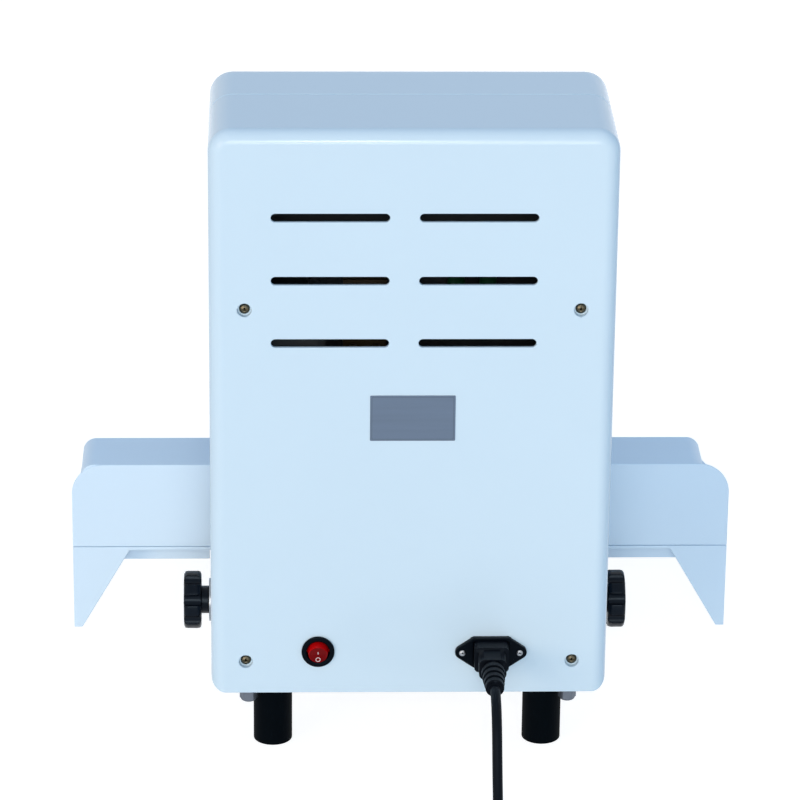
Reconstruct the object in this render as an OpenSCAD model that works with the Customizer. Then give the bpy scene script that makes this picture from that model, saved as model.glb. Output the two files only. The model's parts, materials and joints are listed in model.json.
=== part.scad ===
// Electric paper drill: moulded housing, sliding table with a fence, motor-fed drill head.
// X to the right seen from behind, Y from the rear face to the operator, Z up from the floor.

/* [Housing] */
// Width of the housing
case_w = 276; // [250:1:300]
// Height of the housing above its lower edge
case_h = 412.5; // [375:0.5:450]
// Depth of the rear cover, up to the seam
rear_d = 82; // [80:1:86]
// Depth at which the top starts to round into the slope
top_d = 130; // [126:1:140]
// Depth of the head's front face
nose_d = 325; // [295:1:355]
// Drop from the top to the front face's upper rounding
nose_drop = 122.5; // [108:0.5:126]
// Height of the head, from its underside to the top
head_h = 254.5; // [250:0.5:262]
// Wall of both covers
wall = 3; // [2.5:0.5:4]
// Radius of the housing's long upper edges
corner_r = 16; // [12:1:20]
// Radius of the head's cross edges
head_r = 22; // [20:1:26]
// Radius round the rear face
edge_r = 10; // [7:1:12]
// Radius of the lower corners
bottom_r = 10; // [6:1:12]

/* [Vents] */
// Length of a vent slot
slot_l = 80; // [60:1:84]
// Height of a vent slot
slot_w = 6; // [4:0.5:8]
// Space between the two columns of slots
slot_gap = 20; // [12:1:24]
// Distance from row to row
slot_pitch = 45; // [30:1:48]
// Middle of the slots across the width
vent_x = -6; // [-10:1:10]
// Middle of the top row below the top
vent_drop = 60.5; // [44:0.5:68]

/* [Rear fittings] */
// Cover screws in from the sides
screw_inset = 24.2; // [24:0.2:26]
// Height of the lower cover screws above the lower edge
screw_low = 24; // [22:1:30]
// Upper cover screws below the top
screw_drop = 126.5; // [113:0.5:132]
// Diameter of a cover screw's recess
recess_d = 9.6; // [9:0.2:11]
// Depth of a cover screw's recess
recess_depth = 4; // [3.5:0.5:6]
// Power switch across the width
switch_x = -63.5; // [-70:0.5:-50]
// Height of the power switch and the inlet above the lower edge
switch_h = 32; // [30:0.5:36]
// Diameter of the switch's bezel
bezel_d = 23; // [22:0.5:26]
// Throw of the rocker
rocker_throw = 24; // [16:1:26]
// Mains inlet across the width
inlet_x = 57; // [50:0.5:62]
// Width of the inlet's flange
inlet_w = 50; // [48:0.5:54]
// Distance between the inlet's screws
inlet_pitch = 40; // [39:0.5:42]

/* [Base] */
// Height of a foot
foot_h = 47; // [40:1:60]
// Diameter of a foot
foot_d = 27.2; // [20:0.2:30]
// Feet in from the sides
foot_inset = 43; // [40:1:53]
// Depth of the rear feet
foot_rear = 25.5; // [24:0.5:40]
// Thickness of the base plate
base_t = 10; // [8:0.5:12]
// Base plate past the head's front face
base_reach = 25; // [21:1:40]

/* [Table] */
// Width of the table and its fence
table_w = 486; // [460:1:520]
// Height of the table's top above the housing's lower edge
table_h = 20; // [19:0.5:24]
// Thickness of the table's sheet
table_t = 2.5; // [2:0.5:3]
// Space between the housing under the head and the fence
fence_gap = 16; // [14:1:26]
// Depth of the fence from its rear to its front face
fence_d = 53; // [48:1:56]
// Height of the fence
fence_h = 66; // [50:1:80]
// Radius of the upper corners of the fence's rear plate
fence_r = 22; // [12:1:30]
// Radius of the front corners of the box behind that plate
fence_box_r = 11; // [5:1:20]
// Rear plate beyond the box at the left end
fence_left_in = 8; // [0:1:30]
// Rear plate beyond the box at the right end
fence_right_in = 21; // [0:1:30]
// Sheet of the fence
fence_t = 2; // [1.5:0.5:3]
// Table in front of the fence
table_reach = 141; // [120:1:170]
// Corner radius of the table's front
table_r = 45; // [10:1:60]
// Width of a leg at the table
leg_top_w = 42; // [30:1:50]
// Width of a leg at its foot
leg_low_w = 6; // [5:0.5:12]
// Gap below a leg
leg_gap = 2; // [1:0.5:6]
// Height of the rib under each end of the table
rib_h = 16; // [10:0.5:18]
// Travel of the table either way
table_travel = 10; // [6:0.5:11]

/* [Clamp knobs] */
// Diameter of a knob
knob_d = 42; // [36:0.5:44]
// Thickness of a knob
knob_t = 12.5; // [10:0.5:16]
// Depth of the knobs
knob_y = 112; // [110:1:116]
// Height of the knobs above the housing's lower edge
knob_h = 20.5; // [20:0.5:22]
// Diameter of a washer
washer_d = 31; // [30:0.5:32]
// Thickness of a washer
washer_t = 2.5; // [1.5:0.5:4]
// Flutes round a knob
knob_flutes = 8; // [6:1:10]

/* [Drill head] */
// Drill axis behind the head's front face
drill_set = 42; // [38:1:46]
// Drill axis in front of the fence
drill_gap = 24; // [23:0.5:26]
// Feed of the drill
feed = 60; // [50:1:60]
// Diameter of the hollow drill bit
bit_d = 7; // [5:0.5:8]
// Bore of the drill bit
bit_bore = 5; // [3:0.5:6]
// Diameter of a guide rod
rod_d = 12; // [10:0.5:14]
// Guide rods to either side of the middle
rod_x = 45; // [43:1:47]
// Diameter of the spindle in its bearings
spindle_d = 17; // [15:0.5:18]
// Outer diameter of a spindle bearing
bearing_d = 35; // [32:1:36]
// Width of a spindle bearing
bearing_w = 10; // [8:1:11]
// Pitch radius of the spindle's pulley
pulley_r = 20; // [16:1:22]
// Ratio of the belt drive
belt_ratio = 2; // [1.5:0.1:2.2]
// Thickness of the belt
belt_t = 1.6; // [1.2:0.2:2]
// Diameter of the drill motor
motor_d = 60; // [50:1:60]
// Module of the rack and the pinion
gear_m = 1.5; // [1:0.25:1.5]
// Teeth of the pinion
gear_z = 20; // [18:1:22]
// Curls of each presser spring
spring_curls = 12; // [8:1:14]

/* [Cord] */
// Diameter of the mains cord
cord_d = 7; // [6:0.5:7]
// Turns of the coil
coil_turns = 5; // [4:1:6]
// Radius of the coil's outer turn
coil_r = 51; // [48:1:60]

/* [Hidden] */
$fn = 64;
far = 600;
fit = 0.05;
seat = 0.02;

// Levels
low = foot_h;
base_top = low + base_t;
case_top = low + case_h;
throat_z = case_top - head_h;
nose_z = case_top - nose_drop;
table_z = low + table_h;
screw_z = [low + screw_low, case_top - screw_drop];
switch_z = low + switch_h;
knob_z = low + knob_h;

// Depths
inlet_flange_t = 4;
inlet_screw_t = 1.2;
rear_out = inlet_flange_t + inlet_screw_t;
drill_y = nose_d - drill_set;
fence_front = drill_y - drill_gap;
fence_y = fence_front - fence_d;
lower_d = fence_y - fence_gap;
table_front = fence_front + table_reach;
rear_y = -(table_front - rear_out) / 2;
column_gap = 2;
column_y = rear_d + column_gap;
column_t = 8;
column_front = column_y + column_t;

// Base
base_w = case_w - 2 * bottom_r;
base_rear = 5;
base_r = 12;
base_front = nose_d + base_reach;
foot_x = case_w / 2 - foot_inset;
foot_front = nose_d;
foot_bore = 6.4;
foot_recess_d = 14;
foot_recess = 12;
screw_head_d = 10;
bolt_d = 6;
bolt_head_d = 11.5;
bolt_head_t = 5.5;
dome_d = 9.6;
dome_t = 4.5;
bracket_bolt_inset = 26;
bracket_bolt_x = case_w / 2 - bracket_bolt_inset;
bracket_bolt_y = 11.5;
bracket_foot_t = 4;
bolt_end = 0.3;
column_bolt_x = 70;

// Frame
screw_x = case_w / 2 - screw_inset;
column_edge = 4.2;
column_w = 2 * (screw_x + column_edge);
column_drop = 30;
column_top = case_top - column_drop;
flange_l = 30;
flange_t = 8;
rod_set = 15;
rod_y = lower_d + rod_set;
bracket_t = 8;
bracket_gap = 3;
lower_bracket_z = throat_z + wall + bracket_gap;
lower_bracket_top = lower_bracket_z + bracket_t;
bracket_edge = 17;
bracket_w = 2 * (rod_x + bracket_edge);
carriage_z = lower_bracket_top + feed + 1;
carriage_h = 50;
carriage_top = carriage_z + carriage_h;
upper_bracket_z = carriage_top + 55;
upper_bracket_t = 14;
rods_top = upper_bracket_z + upper_bracket_t;
boss_inset = 30;
boss_x = case_w / 2 - boss_inset;
boss_d = 10;
boss_rise = 50;
boss_drop = 20;
boss_low = low + boss_rise;
boss_high = throat_z - boss_drop;

// Drill head
carriage_hw = rod_x + 19;
carriage_rear = rod_y - 15;
carriage_block_front = rod_y + 17;
bush_d = rod_d + 7;
neck_hw = 30;
boss_r = bearing_d / 2 + 11;
quill_d = bearing_d + 9;
quill_low = throat_z + 11;
yoke_t = 8;
yoke_hw = 37;
yoke_hd = 12;
pin_x = 27;
pin_d = 6;
pin_head_d = 10;
pin_head_t = 3;
bit_tip = table_z + feed;
presser_z = bit_tip + 3;
presser_t = 4;
presser_hw = 36;
presser_hd = 10;
collar_d = 22;
collar_z = quill_low - 18.5;
bit_shank_d = 10;
bit_shank = 15;
spindle_bore = 8;
pulley_gap = 2;
pulley_z = carriage_top + pulley_gap;
pulley_w = 13;
pulley_rim = 3;
rim_t = 1.5;
belt_w = 9;
plate_z = pulley_z + pulley_w + 4;
plate_t = 5;
leg_w = 8;
motor_set = 28;
motor_y = column_front + motor_d / 2 + motor_set;
motor_gap = 4;
bracket_web = 12;
rod_edge = 6;
bracket_front = max(rod_y + rod_d / 2 + rod_edge, motor_y + motor_d / 2 + motor_gap + bracket_web);
motor_h = 66;
motor_shaft_d = 6;
motor_pulley_r = pulley_r / belt_ratio;

// Feed
rib_w = 12;
rib_rear = column_front + 16;
rack_w = 12;
rack_body = 8;
rack_teeth = 19;
tooth_pitch = PI * gear_m;
pinion_r = gear_m * gear_z / 2;
addendum = gear_m;
dedendum = 1.25 * gear_m;
backlash = 0.12;
pressure = 20;
rack_line = carriage_hw + rack_body + dedendum;
pinion_x = -(rack_line + pinion_r);
pinion_z = carriage_z + 20;
pinion_y = rib_rear + 1;
pinion_w = rack_w - 2;
feed_shaft_d = 8;
feed_motor_d = 60;
feed_motor_l = 58;

// Table
arm_gap = 3;
arm_t = 10;
arm_x = case_w / 2 - wall - arm_gap - arm_t;
arm_glide = 0.2;
arm_screw_d = 5;
screw_set = 14;
arm_end = 30;
arm_back = 16;
arm_over = 11;
arm_rear = knob_y - arm_back;
arm_step = fence_y - 1;
arm_front = fence_front + arm_end;
arm_top = knob_z + arm_over;
table_hole_w = 34;
pad_d = 32;
pad_drop = 0.2;
anvil_d = 60;
anvil_top = table_z - table_t - 0.2;
pad_seat = 4;
lip_h = 18;
rib_set = 20;
stud_d = 8;
neck_d = 20;
neck_l = 5.5;
knob_x = case_w / 2 + washer_t + 0.3;

// Rear fittings
boss_end = recess_depth + 5;
cover_screw_d = 4;
cover_head_d = 7.5;
cover_head_t = 2.4;
post_d = 8;
thread_l = 14;
bezel_t = 2;
switch_body_d = 19.6;
switch_body_l = 22;
rocker_d = 15;
rocker_face_d = 12.8;
rocker_proud = 6;
rocker_pocket_d = 16;
rocker_pocket = 9;
rocker_y = 1.5;
rocker_pin_d = 2;
nose_play = 0.3;
inlet_screw_d = 3;
inlet_head_d = 4.6;
socket_w = 27.4;
socket_hgt = 20.4;
socket_l = 24;
nose_w = 24;
nose_hgt = 16.4;
nose_l = 17;
flange_hgt = 22.6;
flange_flat = 24.5;

// Start button
button_x = 72;
button_z = throat_z + 85;
button_d = 20;
button_bezel_d = 30;
button_body_d = 24;
button_stroke = 3;
button_out = 8;
button_bezel_t = 4;

// Cord, from the strain relief down to the floor and on to the coil
relief_end = 62;
cord_lift = 0.5;
cord_rest = cord_d / 2 + cord_lift;
coil_space = 0.7;
coil_pitch = cord_d + coil_space;
// Each point of the way down: behind the strain relief, and its share of the drop that is left
cord_run = [
  [0, 1], [8, 1], [21, 0.947], [33, 0.813], [42, 0.627], [51, 0.44],
  [61, 0.267], [74, 0.12], [88, 0.027], [102, 0], [109, 0]
];
cord_points = [
  for (p = cord_run) [inlet_x, -relief_end - p[0], cord_rest + (switch_z - cord_rest) * p[1]]
];
coil_start = cord_points[len(cord_run) - 1];
coil_center = [coil_start.x - coil_r, coil_start.y - cord_d, coil_start.z];
coil_rings = 24;
coil_tail = 28;

function unit(v) = v / norm(v);

// Position on the coil after a number of turns: in on the lower layer, out on the upper one
function coil_at(t) =
  let (half = coil_turns / 2)
  let (r = coil_r - coil_pitch * (t < half ? t : coil_turns - t))
  let (climb = min(1, max(0, (t - half + 0.25) / 0.5)))
  let (a = -360 * t)
  coil_center + [r * cos(a), r * sin(a), coil_pitch * climb];

coil_end = coil_at(coil_turns);
coil_path = concat(
  [coil_start],
  [for (i = [0 : coil_turns * coil_rings]) coil_at(i / coil_rings)],
  [coil_end - [0, cord_d, 0], coil_end - [0, coil_tail - cord_d, 0], coil_end - [0, coil_tail, 0]]
);

// Least clear space between turns of the coil
function near_gap(path, i) =
  min([for (j = [0 : len(path) - 1]) if (abs(i - j) > coil_rings / 2) norm(path[i] - path[j])]) - cord_d;
echo(coil_self_gap = min([for (i = [0 : len(coil_path) - 1]) near_gap(coil_path, i)]));

// Direction of a path at one of its points
function heading(path, i) = unit(path[min(i + 1, len(path) - 1)] - path[max(i - 1, 0)]);

// Ring of points round a path, square to it, with a side axis that stays level with up
function ring(path, i, r, sides, up) =
  let (t = heading(path, i), u = unit(cross(up, t)), v = cross(t, u))
  [for (k = [0 : sides - 1]) path[i] + r * (cos(360 * k / sides) * u + sin(360 * k / sides) * v)];

module swept_tube(path, r, sides, up) {
  n = len(path);
  polyhedron(
    points = [for (i = [0 : n - 1]) each ring(path, i, r, sides, up)],
    faces = concat(
      [for (k = [1 : sides - 2]) [0, k, k + 1]],
      [for (k = [1 : sides - 2]) [(n - 1) * sides, (n - 1) * sides + k + 1, (n - 1) * sides + k]],
      [for (i = [0 : n - 2], k = [0 : sides - 1])
        [i * sides + k, (i + 1) * sides + k, i * sides + (k + 1) % sides]],
      [for (i = [0 : n - 2], k = [0 : sides - 1])
        [i * sides + (k + 1) % sides, (i + 1) * sides + k, (i + 1) * sides + (k + 1) % sides]]
    )
  );
}

// Everything is measured from the rear face and then moved so that the origin is under the middle
module place() {
  translate([0, rear_y, 0]) children();
}

module block(lo, hi) {
  translate(lo) cube(hi - lo);
}

module round_x(d, x0, x1, y, z) {
  translate([x0, y, z]) rotate([0, 90, 0]) cylinder(d = d, h = x1 - x0);
}

module round_y(d, y0, y1, x, z) {
  translate([x, y1, z]) rotate([90, 0, 0]) cylinder(d = d, h = y1 - y0);
}

module round_z(d, z0, z1, x, y) {
  translate([x, y, z0]) cylinder(d = d, h = z1 - z0);
}

// Both sides of the middle
module pair() {
  for (side = [0, 1]) mirror([side, 0, 0]) children();
}

// Plane figures drawn in X and Z, made solid along Y
module upright(y0, y1) {
  translate([0, y1, 0]) rotate([90, 0, 0]) linear_extrude(y1 - y0) children();
}

// Plane figures drawn in Y and Z, made solid along X
module sideways(x0, x1) {
  translate([x0, 0, 0]) rotate([90, 0, 90]) linear_extrude(x1 - x0) children();
}

// Section across the rim of a slab, its two outer corners rounded
module rim_section(reach, thick, r) {
  intersection() {
    square([reach, thick]);
    union() {
      translate([0, r]) square([reach, thick - 2 * r]);
      square([reach - r, thick]);
      for (y = [r, thick - r]) translate([reach - r, y]) circle(r);
    }
  }
}

// Four-cornered slab with a rounded rim: its corner axes, the reach round them, its thickness, the rim's r
// Its middle laps the flat part of the rim
module rounded_slab(axes, reach, thick, r) {
  n = len(axes);
  lap = (reach - r) / 2;
  middle = (axes[0] + axes[2]) / 2;
  linear_extrude(thick) polygon([for (a = axes) a + lap * [sign(a.x - middle.x), sign(a.y - middle.y)]]);
  for (i = [0 : n - 1]) {
    here = axes[i];
    next = axes[(i + 1) % n];
    last = axes[(i + n - 1) % n];
    out = atan2(next.y - here.y, next.x - here.x) - 90;
    turned = atan2(here.y - last.y, here.x - last.x) - 90;
    sweep = (out - turned + 720) % 360;
    translate(here) rotate([0, 0, out]) rotate([90, 0, 0]) mirror([0, 0, 1])
      linear_extrude(norm(next - here)) rim_section(reach, thick, r);
    translate(here) rotate([0, 0, turned]) rotate_extrude(angle = sweep) rim_section(reach, thick, r);
  }
}

// Cuts the lower corners of the housing round
module lower_corner_cuts(r, half_w, z) {
  pair() difference() {
    block([half_w - r, -1, z - 1], [half_w + 1, far, z + r]);
    round_y(2 * r, -2, far + 1, half_w - r, z + r);
  }
}

// Rear half of the housing, solid, drawn in from its outside by inset
module rear_block(inset) {
  axis_x = case_w / 2 - corner_r;
  axes = [[-axis_x, 0], [axis_x, 0], [axis_x, case_top - corner_r], [-axis_x, case_top - corner_r]];
  difference() {
    translate([0, inset, 0]) mirror([0, 1, 0]) rotate([90, 0, 0])
      rounded_slab(axes, corner_r - inset, rear_d + 2 * corner_r, edge_r - inset);
    translate([-far, rear_d + (inset > 0 ? 1 : 0), -far]) cube(2 * far);
    translate([-far, -far, low + inset - 2 * far]) cube(2 * far);
    lower_corner_cuts(bottom_r - inset, case_w / 2 - inset, low + inset);
  }
}

// Lower half of the front cover, solid
module lower_block(inset) {
  half = case_w / 2 - inset;
  front = lower_d - inset;
  rear = rear_d - (inset > 0 ? 1 : 0);
  r = edge_r - inset;
  difference() {
    translate([0, 0, low + inset]) linear_extrude(throat_z - low + head_r) {
      translate([-half, rear]) square([2 * half, front - r - rear]);
      translate([-half + r, rear_d]) square([2 * half - 2 * r, front - rear_d]);
      for (x = [-half + r, half - r]) translate([x, front - r]) circle(r);
    }
    lower_corner_cuts(bottom_r - inset, half, low + inset);
  }
}

// Head of the front cover, solid
module head_block(inset) {
  axes = [
    [rear_d - 2 * head_r, throat_z + head_r], [nose_d - head_r, throat_z + head_r],
    [nose_d - head_r, nose_z], [top_d, case_top - head_r], [rear_d - 2 * head_r, case_top - head_r]
  ];
  difference() {
    translate([-case_w / 2 + inset, 0, 0]) rotate([90, 0, 90]) hull() for (axis = axes) translate(axis)
      rotate_extrude($fn = 32) rim_section(head_r - inset, case_w - 2 * inset, corner_r - inset);
    translate([-far, rear_d - (inset > 0 ? 1 : 0) - 2 * far, -far]) cube([2 * far, 2 * far, 3 * far]);
  }
}

module base_plate() {
  color("gainsboro") place() difference() {
    translate([0, 0, low]) linear_extrude(base_t) {
      translate([-base_w / 2, base_rear]) square([base_w, base_front - base_r - base_rear]);
      translate([-base_w / 2 + base_r, base_rear]) square([base_w - 2 * base_r, base_front - base_rear]);
      for (x = [-1, 1]) translate([x * (base_w / 2 - base_r), base_front - base_r]) circle(base_r);
    }
    for (x = [-foot_x, foot_x], y = [foot_rear, foot_front])
      round_z(foot_bore, low - 1, base_top + 1, x, y);
    for (x = [-1, 1]) {
      round_z(bolt_d + 2 * seat, low - 1, base_top + 1, x * bracket_bolt_x, bracket_bolt_y);
      round_z(bolt_d + 2 * seat, low - 1, base_top + 1, x * column_bolt_x, column_front + flange_l / 2);
    }
    round_z(bolt_d + 2 * seat, low - 1, base_top + 1, 0, drill_y);
  }
}

module rubber_feet() {
  color("black") place() for (x = [-foot_x, foot_x], y = [foot_rear, foot_front]) translate([x, y, 0])
    difference() {
      cylinder(d = foot_d, h = foot_h);
      translate([0, 0, -1]) cylinder(d = foot_bore, h = foot_h + 2);
      translate([0, 0, -1]) cylinder(d = foot_recess_d, h = foot_recess + 1);
    }
}

module foot_screws() {
  color("silver") place() for (x = [-foot_x, foot_x], y = [foot_rear, foot_front]) {
    round_z(screw_head_d, foot_recess - bolt_d, foot_recess, x, y);
    round_z(bolt_d, foot_recess, base_top, x, y);
  }
}

module hex_bolt(x, y, top) {
  translate([x, y, low - bolt_head_t]) cylinder(d = bolt_head_d, h = bolt_head_t, $fn = 6);
  translate([x, y, low - bolt_head_t]) mirror([0, 0, 1]) rotate_extrude() intersection() {
    translate([0, dome_t - dome_d / 2]) circle(d = dome_d);
    square([dome_d, dome_t]);
  }
  round_z(bolt_d, low, top, x, y);
}

module base_bolts() {
  color("silver") place() {
    for (x = [-1, 1]) {
      hex_bolt(x * bracket_bolt_x, bracket_bolt_y, base_top + bracket_foot_t - bolt_end);
      hex_bolt(x * column_bolt_x, column_front + flange_l / 2, base_top + flange_t);
    }
    hex_bolt(0, drill_y, base_top + 3);
  }
}

module column_plate() {
  color("darkgray") place() difference() {
    union() {
      block([-column_w / 2, column_y, base_top], [column_w / 2, column_front, column_top]);
      block([-column_w / 2 + 18, column_front, base_top],
            [column_w / 2 - 18, column_front + flange_l, base_top + flange_t]);
    }
    for (x = [-1, 1])
      round_z(bolt_d + 2 * seat, base_top - 1, base_top + flange_t + 1,
              x * column_bolt_x, column_front + flange_l / 2);
    round_y(2 * feed_shaft_d, column_y - 1, column_front + 1, pinion_x, pinion_z);
  }
}

module cover_posts() {
  color("silver") place() for (x = [-screw_x, screw_x]) difference() {
    round_y(post_d, boss_end, column_y, x, screw_z[1]);
    round_y(cover_screw_d + 2 * seat, boss_end - 1, boss_end + thread_l, x, screw_z[1]);
  }
}

module cover_brackets() {
  tab_t = 3;
  tab_w = 24;
  tab_over = 8;
  tab_in = 2;
  foot_side = 5.5;
  color("silver") place() for (side = [-1, 1]) let (x = side * (screw_x - tab_in)) difference() {
    union() {
      block([x - tab_w / 2, boss_end, base_top], [x + tab_w / 2, boss_end + tab_t, screw_z[0] + tab_over]);
      block([x - tab_w / 2, bracket_bolt_y - foot_side, base_top],
            [x + tab_w / 2, bracket_bolt_y + foot_side, base_top + bracket_foot_t]);
      round_y(post_d, boss_end, boss_end + thread_l, side * screw_x, screw_z[0]);
    }
    round_y(cover_screw_d + 2 * seat, boss_end - 1, boss_end + thread_l + 1, side * screw_x, screw_z[0]);
    round_z(bolt_d + 2 * seat, base_top - 1, base_top + bracket_foot_t,
            side * bracket_bolt_x, bracket_bolt_y);
  }
}

module vent_slot() {
  translate([-(slot_l - slot_w) / 2, -slot_w / 2]) square([slot_l - slot_w, slot_w]);
  for (x = [-1, 1]) translate([x * (slot_l - slot_w) / 2, 0]) circle(d = slot_w);
}

module inlet_outline(w, hgt, flat, end_r) {
  hull() {
    square([flat, hgt], center = true);
    for (x = [-1, 1]) translate([x * (w / 2 - end_r), 0]) circle(end_r, $fn = 32);
  }
}

module rear_cover() {
  clear = 1;
  boss = recess_d + 5;
  color("aliceblue") place() difference() {
    union() {
      difference() {
        rear_block(0);
        rear_block(wall);
        block([-base_w / 2 - clear, wall, low - 1], [base_w / 2 + clear, rear_d + 1, low + wall + 1]);
      }
      for (x = [-screw_x, screw_x], z = screw_z) round_y(boss, wall - 0.5, boss_end, x, z);
    }
    for (x = [-screw_x, screw_x], z = screw_z) {
      round_y(recess_d, -1, recess_depth, x, z);
      round_y(cover_screw_d + 0.6, 0, boss_end + 1, x, z);
    }
    for (column = [-1, 1], row = [0 : 2])
      translate([vent_x + column * (slot_l + slot_gap) / 2, 0, case_top - vent_drop - row * slot_pitch])
        upright(-1, wall + 1) vent_slot();
    round_y(switch_body_d + 2 * seat, -1, wall + 1, switch_x, switch_z);
    block([inlet_x - socket_w / 2 - seat, -1, switch_z - socket_hgt / 2 - seat],
          [inlet_x + socket_w / 2 + seat, wall + 1, switch_z + socket_hgt / 2 + seat]);
    for (x = [-1, 1])
      round_y(inlet_screw_d + 2 * seat, -1, wall + 1, inlet_x + x * inlet_pitch / 2, switch_z);
  }
}

module front_cover() {
  clear = 1.5;
  opening_hw = yoke_hw + 5;
  opening_hd = quill_d / 2 + 3;
  slot_half = table_travel + stud_d / 2 + 0.5;
  color("aliceblue") place() difference() {
    union() {
      difference() {
        union() {
          head_block(0);
          lower_block(0);
        }
        head_block(wall);
        lower_block(wall);
        block([-base_w / 2 - clear, rear_d - 1, low - 1],
              [base_w / 2 + clear, lower_d + 1, base_top + clear / 2]);
      }
      for (x = [-boss_x, boss_x], z = [boss_low, boss_high])
        round_y(boss_d, column_front, lower_d - wall + 0.5, x, z);
    }
    pair() {
      block([arm_x - clear, lower_d - edge_r - 1, low - 1],
            [arm_x + arm_t + clear, lower_d + 1, arm_top + clear]);
      block([case_w / 2 - wall - 1, knob_y - slot_half + stud_d / 2, knob_z - stud_d / 2 - 0.5],
            [case_w / 2 + 1, knob_y + slot_half - stud_d / 2, knob_z + stud_d / 2 + 0.5]);
      for (y = [-1, 1])
        round_x(stud_d + 1, case_w / 2 - wall - 1, case_w / 2 + 1, knob_y + y * table_travel, knob_z);
    }
    block([-opening_hw, drill_y - opening_hd, throat_z - 1],
          [opening_hw, drill_y + opening_hd, throat_z + wall + 1]);
    round_y(button_body_d + 2 * seat, nose_d - wall - 1, nose_d + 1, button_x, button_z);
  }
}

module cover_screws() {
  cross_w = 1.2;
  cross_l = 4.4;
  color("goldenrod") place() for (x = [-screw_x, screw_x], z = screw_z) difference() {
    union() {
      round_y(cover_head_d, recess_depth - cover_head_t, recess_depth, x, z);
      round_y(cover_screw_d, recess_depth, boss_end + thread_l - 2, x, z);
    }
    translate([x, recess_depth - cover_head_t, z]) {
      cube([cross_l, 2, cross_w], center = true);
      cube([cross_w, 2, cross_l], center = true);
    }
  }
}

module switch_body() {
  color("black") place() difference() {
    union() {
      round_y(bezel_d, -bezel_t, 0, switch_x, switch_z);
      round_y(switch_body_d, 0, switch_body_l, switch_x, switch_z);
      for (z = [-6, 0, 6]) block([switch_x - 2.4, switch_body_l, switch_z + z - 0.4],
                                 [switch_x + 2.4, switch_body_l + 8, switch_z + z + 0.4]);
    }
    round_y(rocker_pocket_d, -bezel_t - 1, rocker_pocket, switch_x, switch_z);
    round_x(rocker_pin_d + 2 * fit, switch_x - rocker_pocket_d / 2 - 1, switch_x + rocker_pocket_d / 2 + 1,
            rocker_y, switch_z);
  }
}

module power_rocker() {
  deep = 2.6;
  dip = 0.9;
  stub_d = 14;
  pin_end = 0.7;
  color("crimson") place() translate([switch_x, rocker_y, switch_z]) {
    rotate([rocker_throw / 2, 0, 0]) difference() {
      union() {
        rotate([90, 0, 0]) cylinder(d1 = rocker_d, d2 = rocker_face_d, h = rocker_proud);
        round_y(stub_d, 0, deep, 0, 0);
      }
      sideways(-rocker_d, rocker_d)
        polygon([[-rocker_proud, -rocker_face_d / 2], [dip - rocker_proud, 0], [-rocker_proud, rocker_face_d / 2],
                 [-2 * rocker_proud, rocker_face_d], [-2 * rocker_proud, -rocker_face_d]]);
    }
    round_x(rocker_pin_d, -rocker_pocket_d / 2 - pin_end, rocker_pocket_d / 2 + pin_end, 0, 0);
  }
}

module inlet_socket() {
  end_r = 4.6;
  color("black") place() translate([inlet_x, 0, switch_z]) difference() {
    union() {
      upright(-inlet_flange_t, 0) inlet_outline(inlet_w, flange_hgt, flange_flat, end_r);
      block([-socket_w / 2, 0, -socket_hgt / 2], [socket_w / 2, socket_l, socket_hgt / 2]);
    }
    block([-nose_w / 2 - nose_play, -inlet_flange_t - 1, -nose_hgt / 2 - nose_play],
          [nose_w / 2 + nose_play, nose_l, nose_hgt / 2 + nose_play]);
    for (x = [-1, 1]) round_y(inlet_screw_d + 2 * seat, -inlet_flange_t - 1, 1, x * inlet_pitch / 2, 0);
  }
}

// Places of the three contacts of the inlet and of its connector
contacts = [[-7, -2], [0, 2], [7, -2]];
contact_w = 2;
contact_h = 4;

module inlet_pins() {
  color("silver") place() for (c = contacts)
    block([inlet_x + c.x - contact_w / 2, nose_l - 14, switch_z + c.y - contact_h / 2],
          [inlet_x + c.x + contact_w / 2, nose_l, switch_z + c.y + contact_h / 2]);
}

module inlet_screws() {
  color("silver") place() for (x = [-1, 1]) {
    at = inlet_x + x * inlet_pitch / 2;
    round_y(inlet_head_d, -inlet_flange_t - inlet_screw_t, -inlet_flange_t, at, switch_z);
    round_y(inlet_screw_d, -inlet_flange_t, wall + 4, at, switch_z);
  }
}

module rod_bores(d, z0, z1) {
  for (x = [-rod_x, rod_x]) round_z(d, z0, z1, x, rod_y);
}

module upper_rod_bracket() {
  color("slategray") place() difference() {
    block([-bracket_w / 2, column_front, upper_bracket_z], [bracket_w / 2, bracket_front, rods_top]);
    block([-motor_d / 2 - motor_gap, column_front - 1, upper_bracket_z - 1],
          [motor_d / 2 + motor_gap, motor_y + motor_d / 2 + motor_gap, rods_top + 1]);
    rod_bores(rod_d + 2 * seat, upper_bracket_z - 1, rods_top + 1);
  }
}

module lower_rod_bracket() {
  color("slategray") place() difference() {
    block([-bracket_w / 2, column_front, lower_bracket_z], [bracket_w / 2, bracket_front, lower_bracket_top]);
    rod_bores(rod_d + 2 * seat, lower_bracket_z - 1, lower_bracket_top + 1);
  }
}

module guide_rods() {
  color("silver") place() rod_bores(rod_d, lower_bracket_z, rods_top);
}

module feed_motor() {
  ear_x = feed_motor_d / 2 + 2;
  color("dimgray") place() translate([pinion_x, 0, pinion_z]) difference() {
    union() {
      round_y(feed_motor_d, column_y - feed_motor_l, column_y, 0, 0);
      round_y(feed_motor_d - 10, column_y - feed_motor_l - 3, column_y - feed_motor_l, 0, 0);
      for (a = [45 : 90 : 315]) rotate([0, a, 0]) round_y(8, column_y - 4, column_y, ear_x, 0);
    }
    round_y(feed_shaft_d + 2 * fit, column_y - 22, column_y + 1, 0, 0);
  }
}

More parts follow.
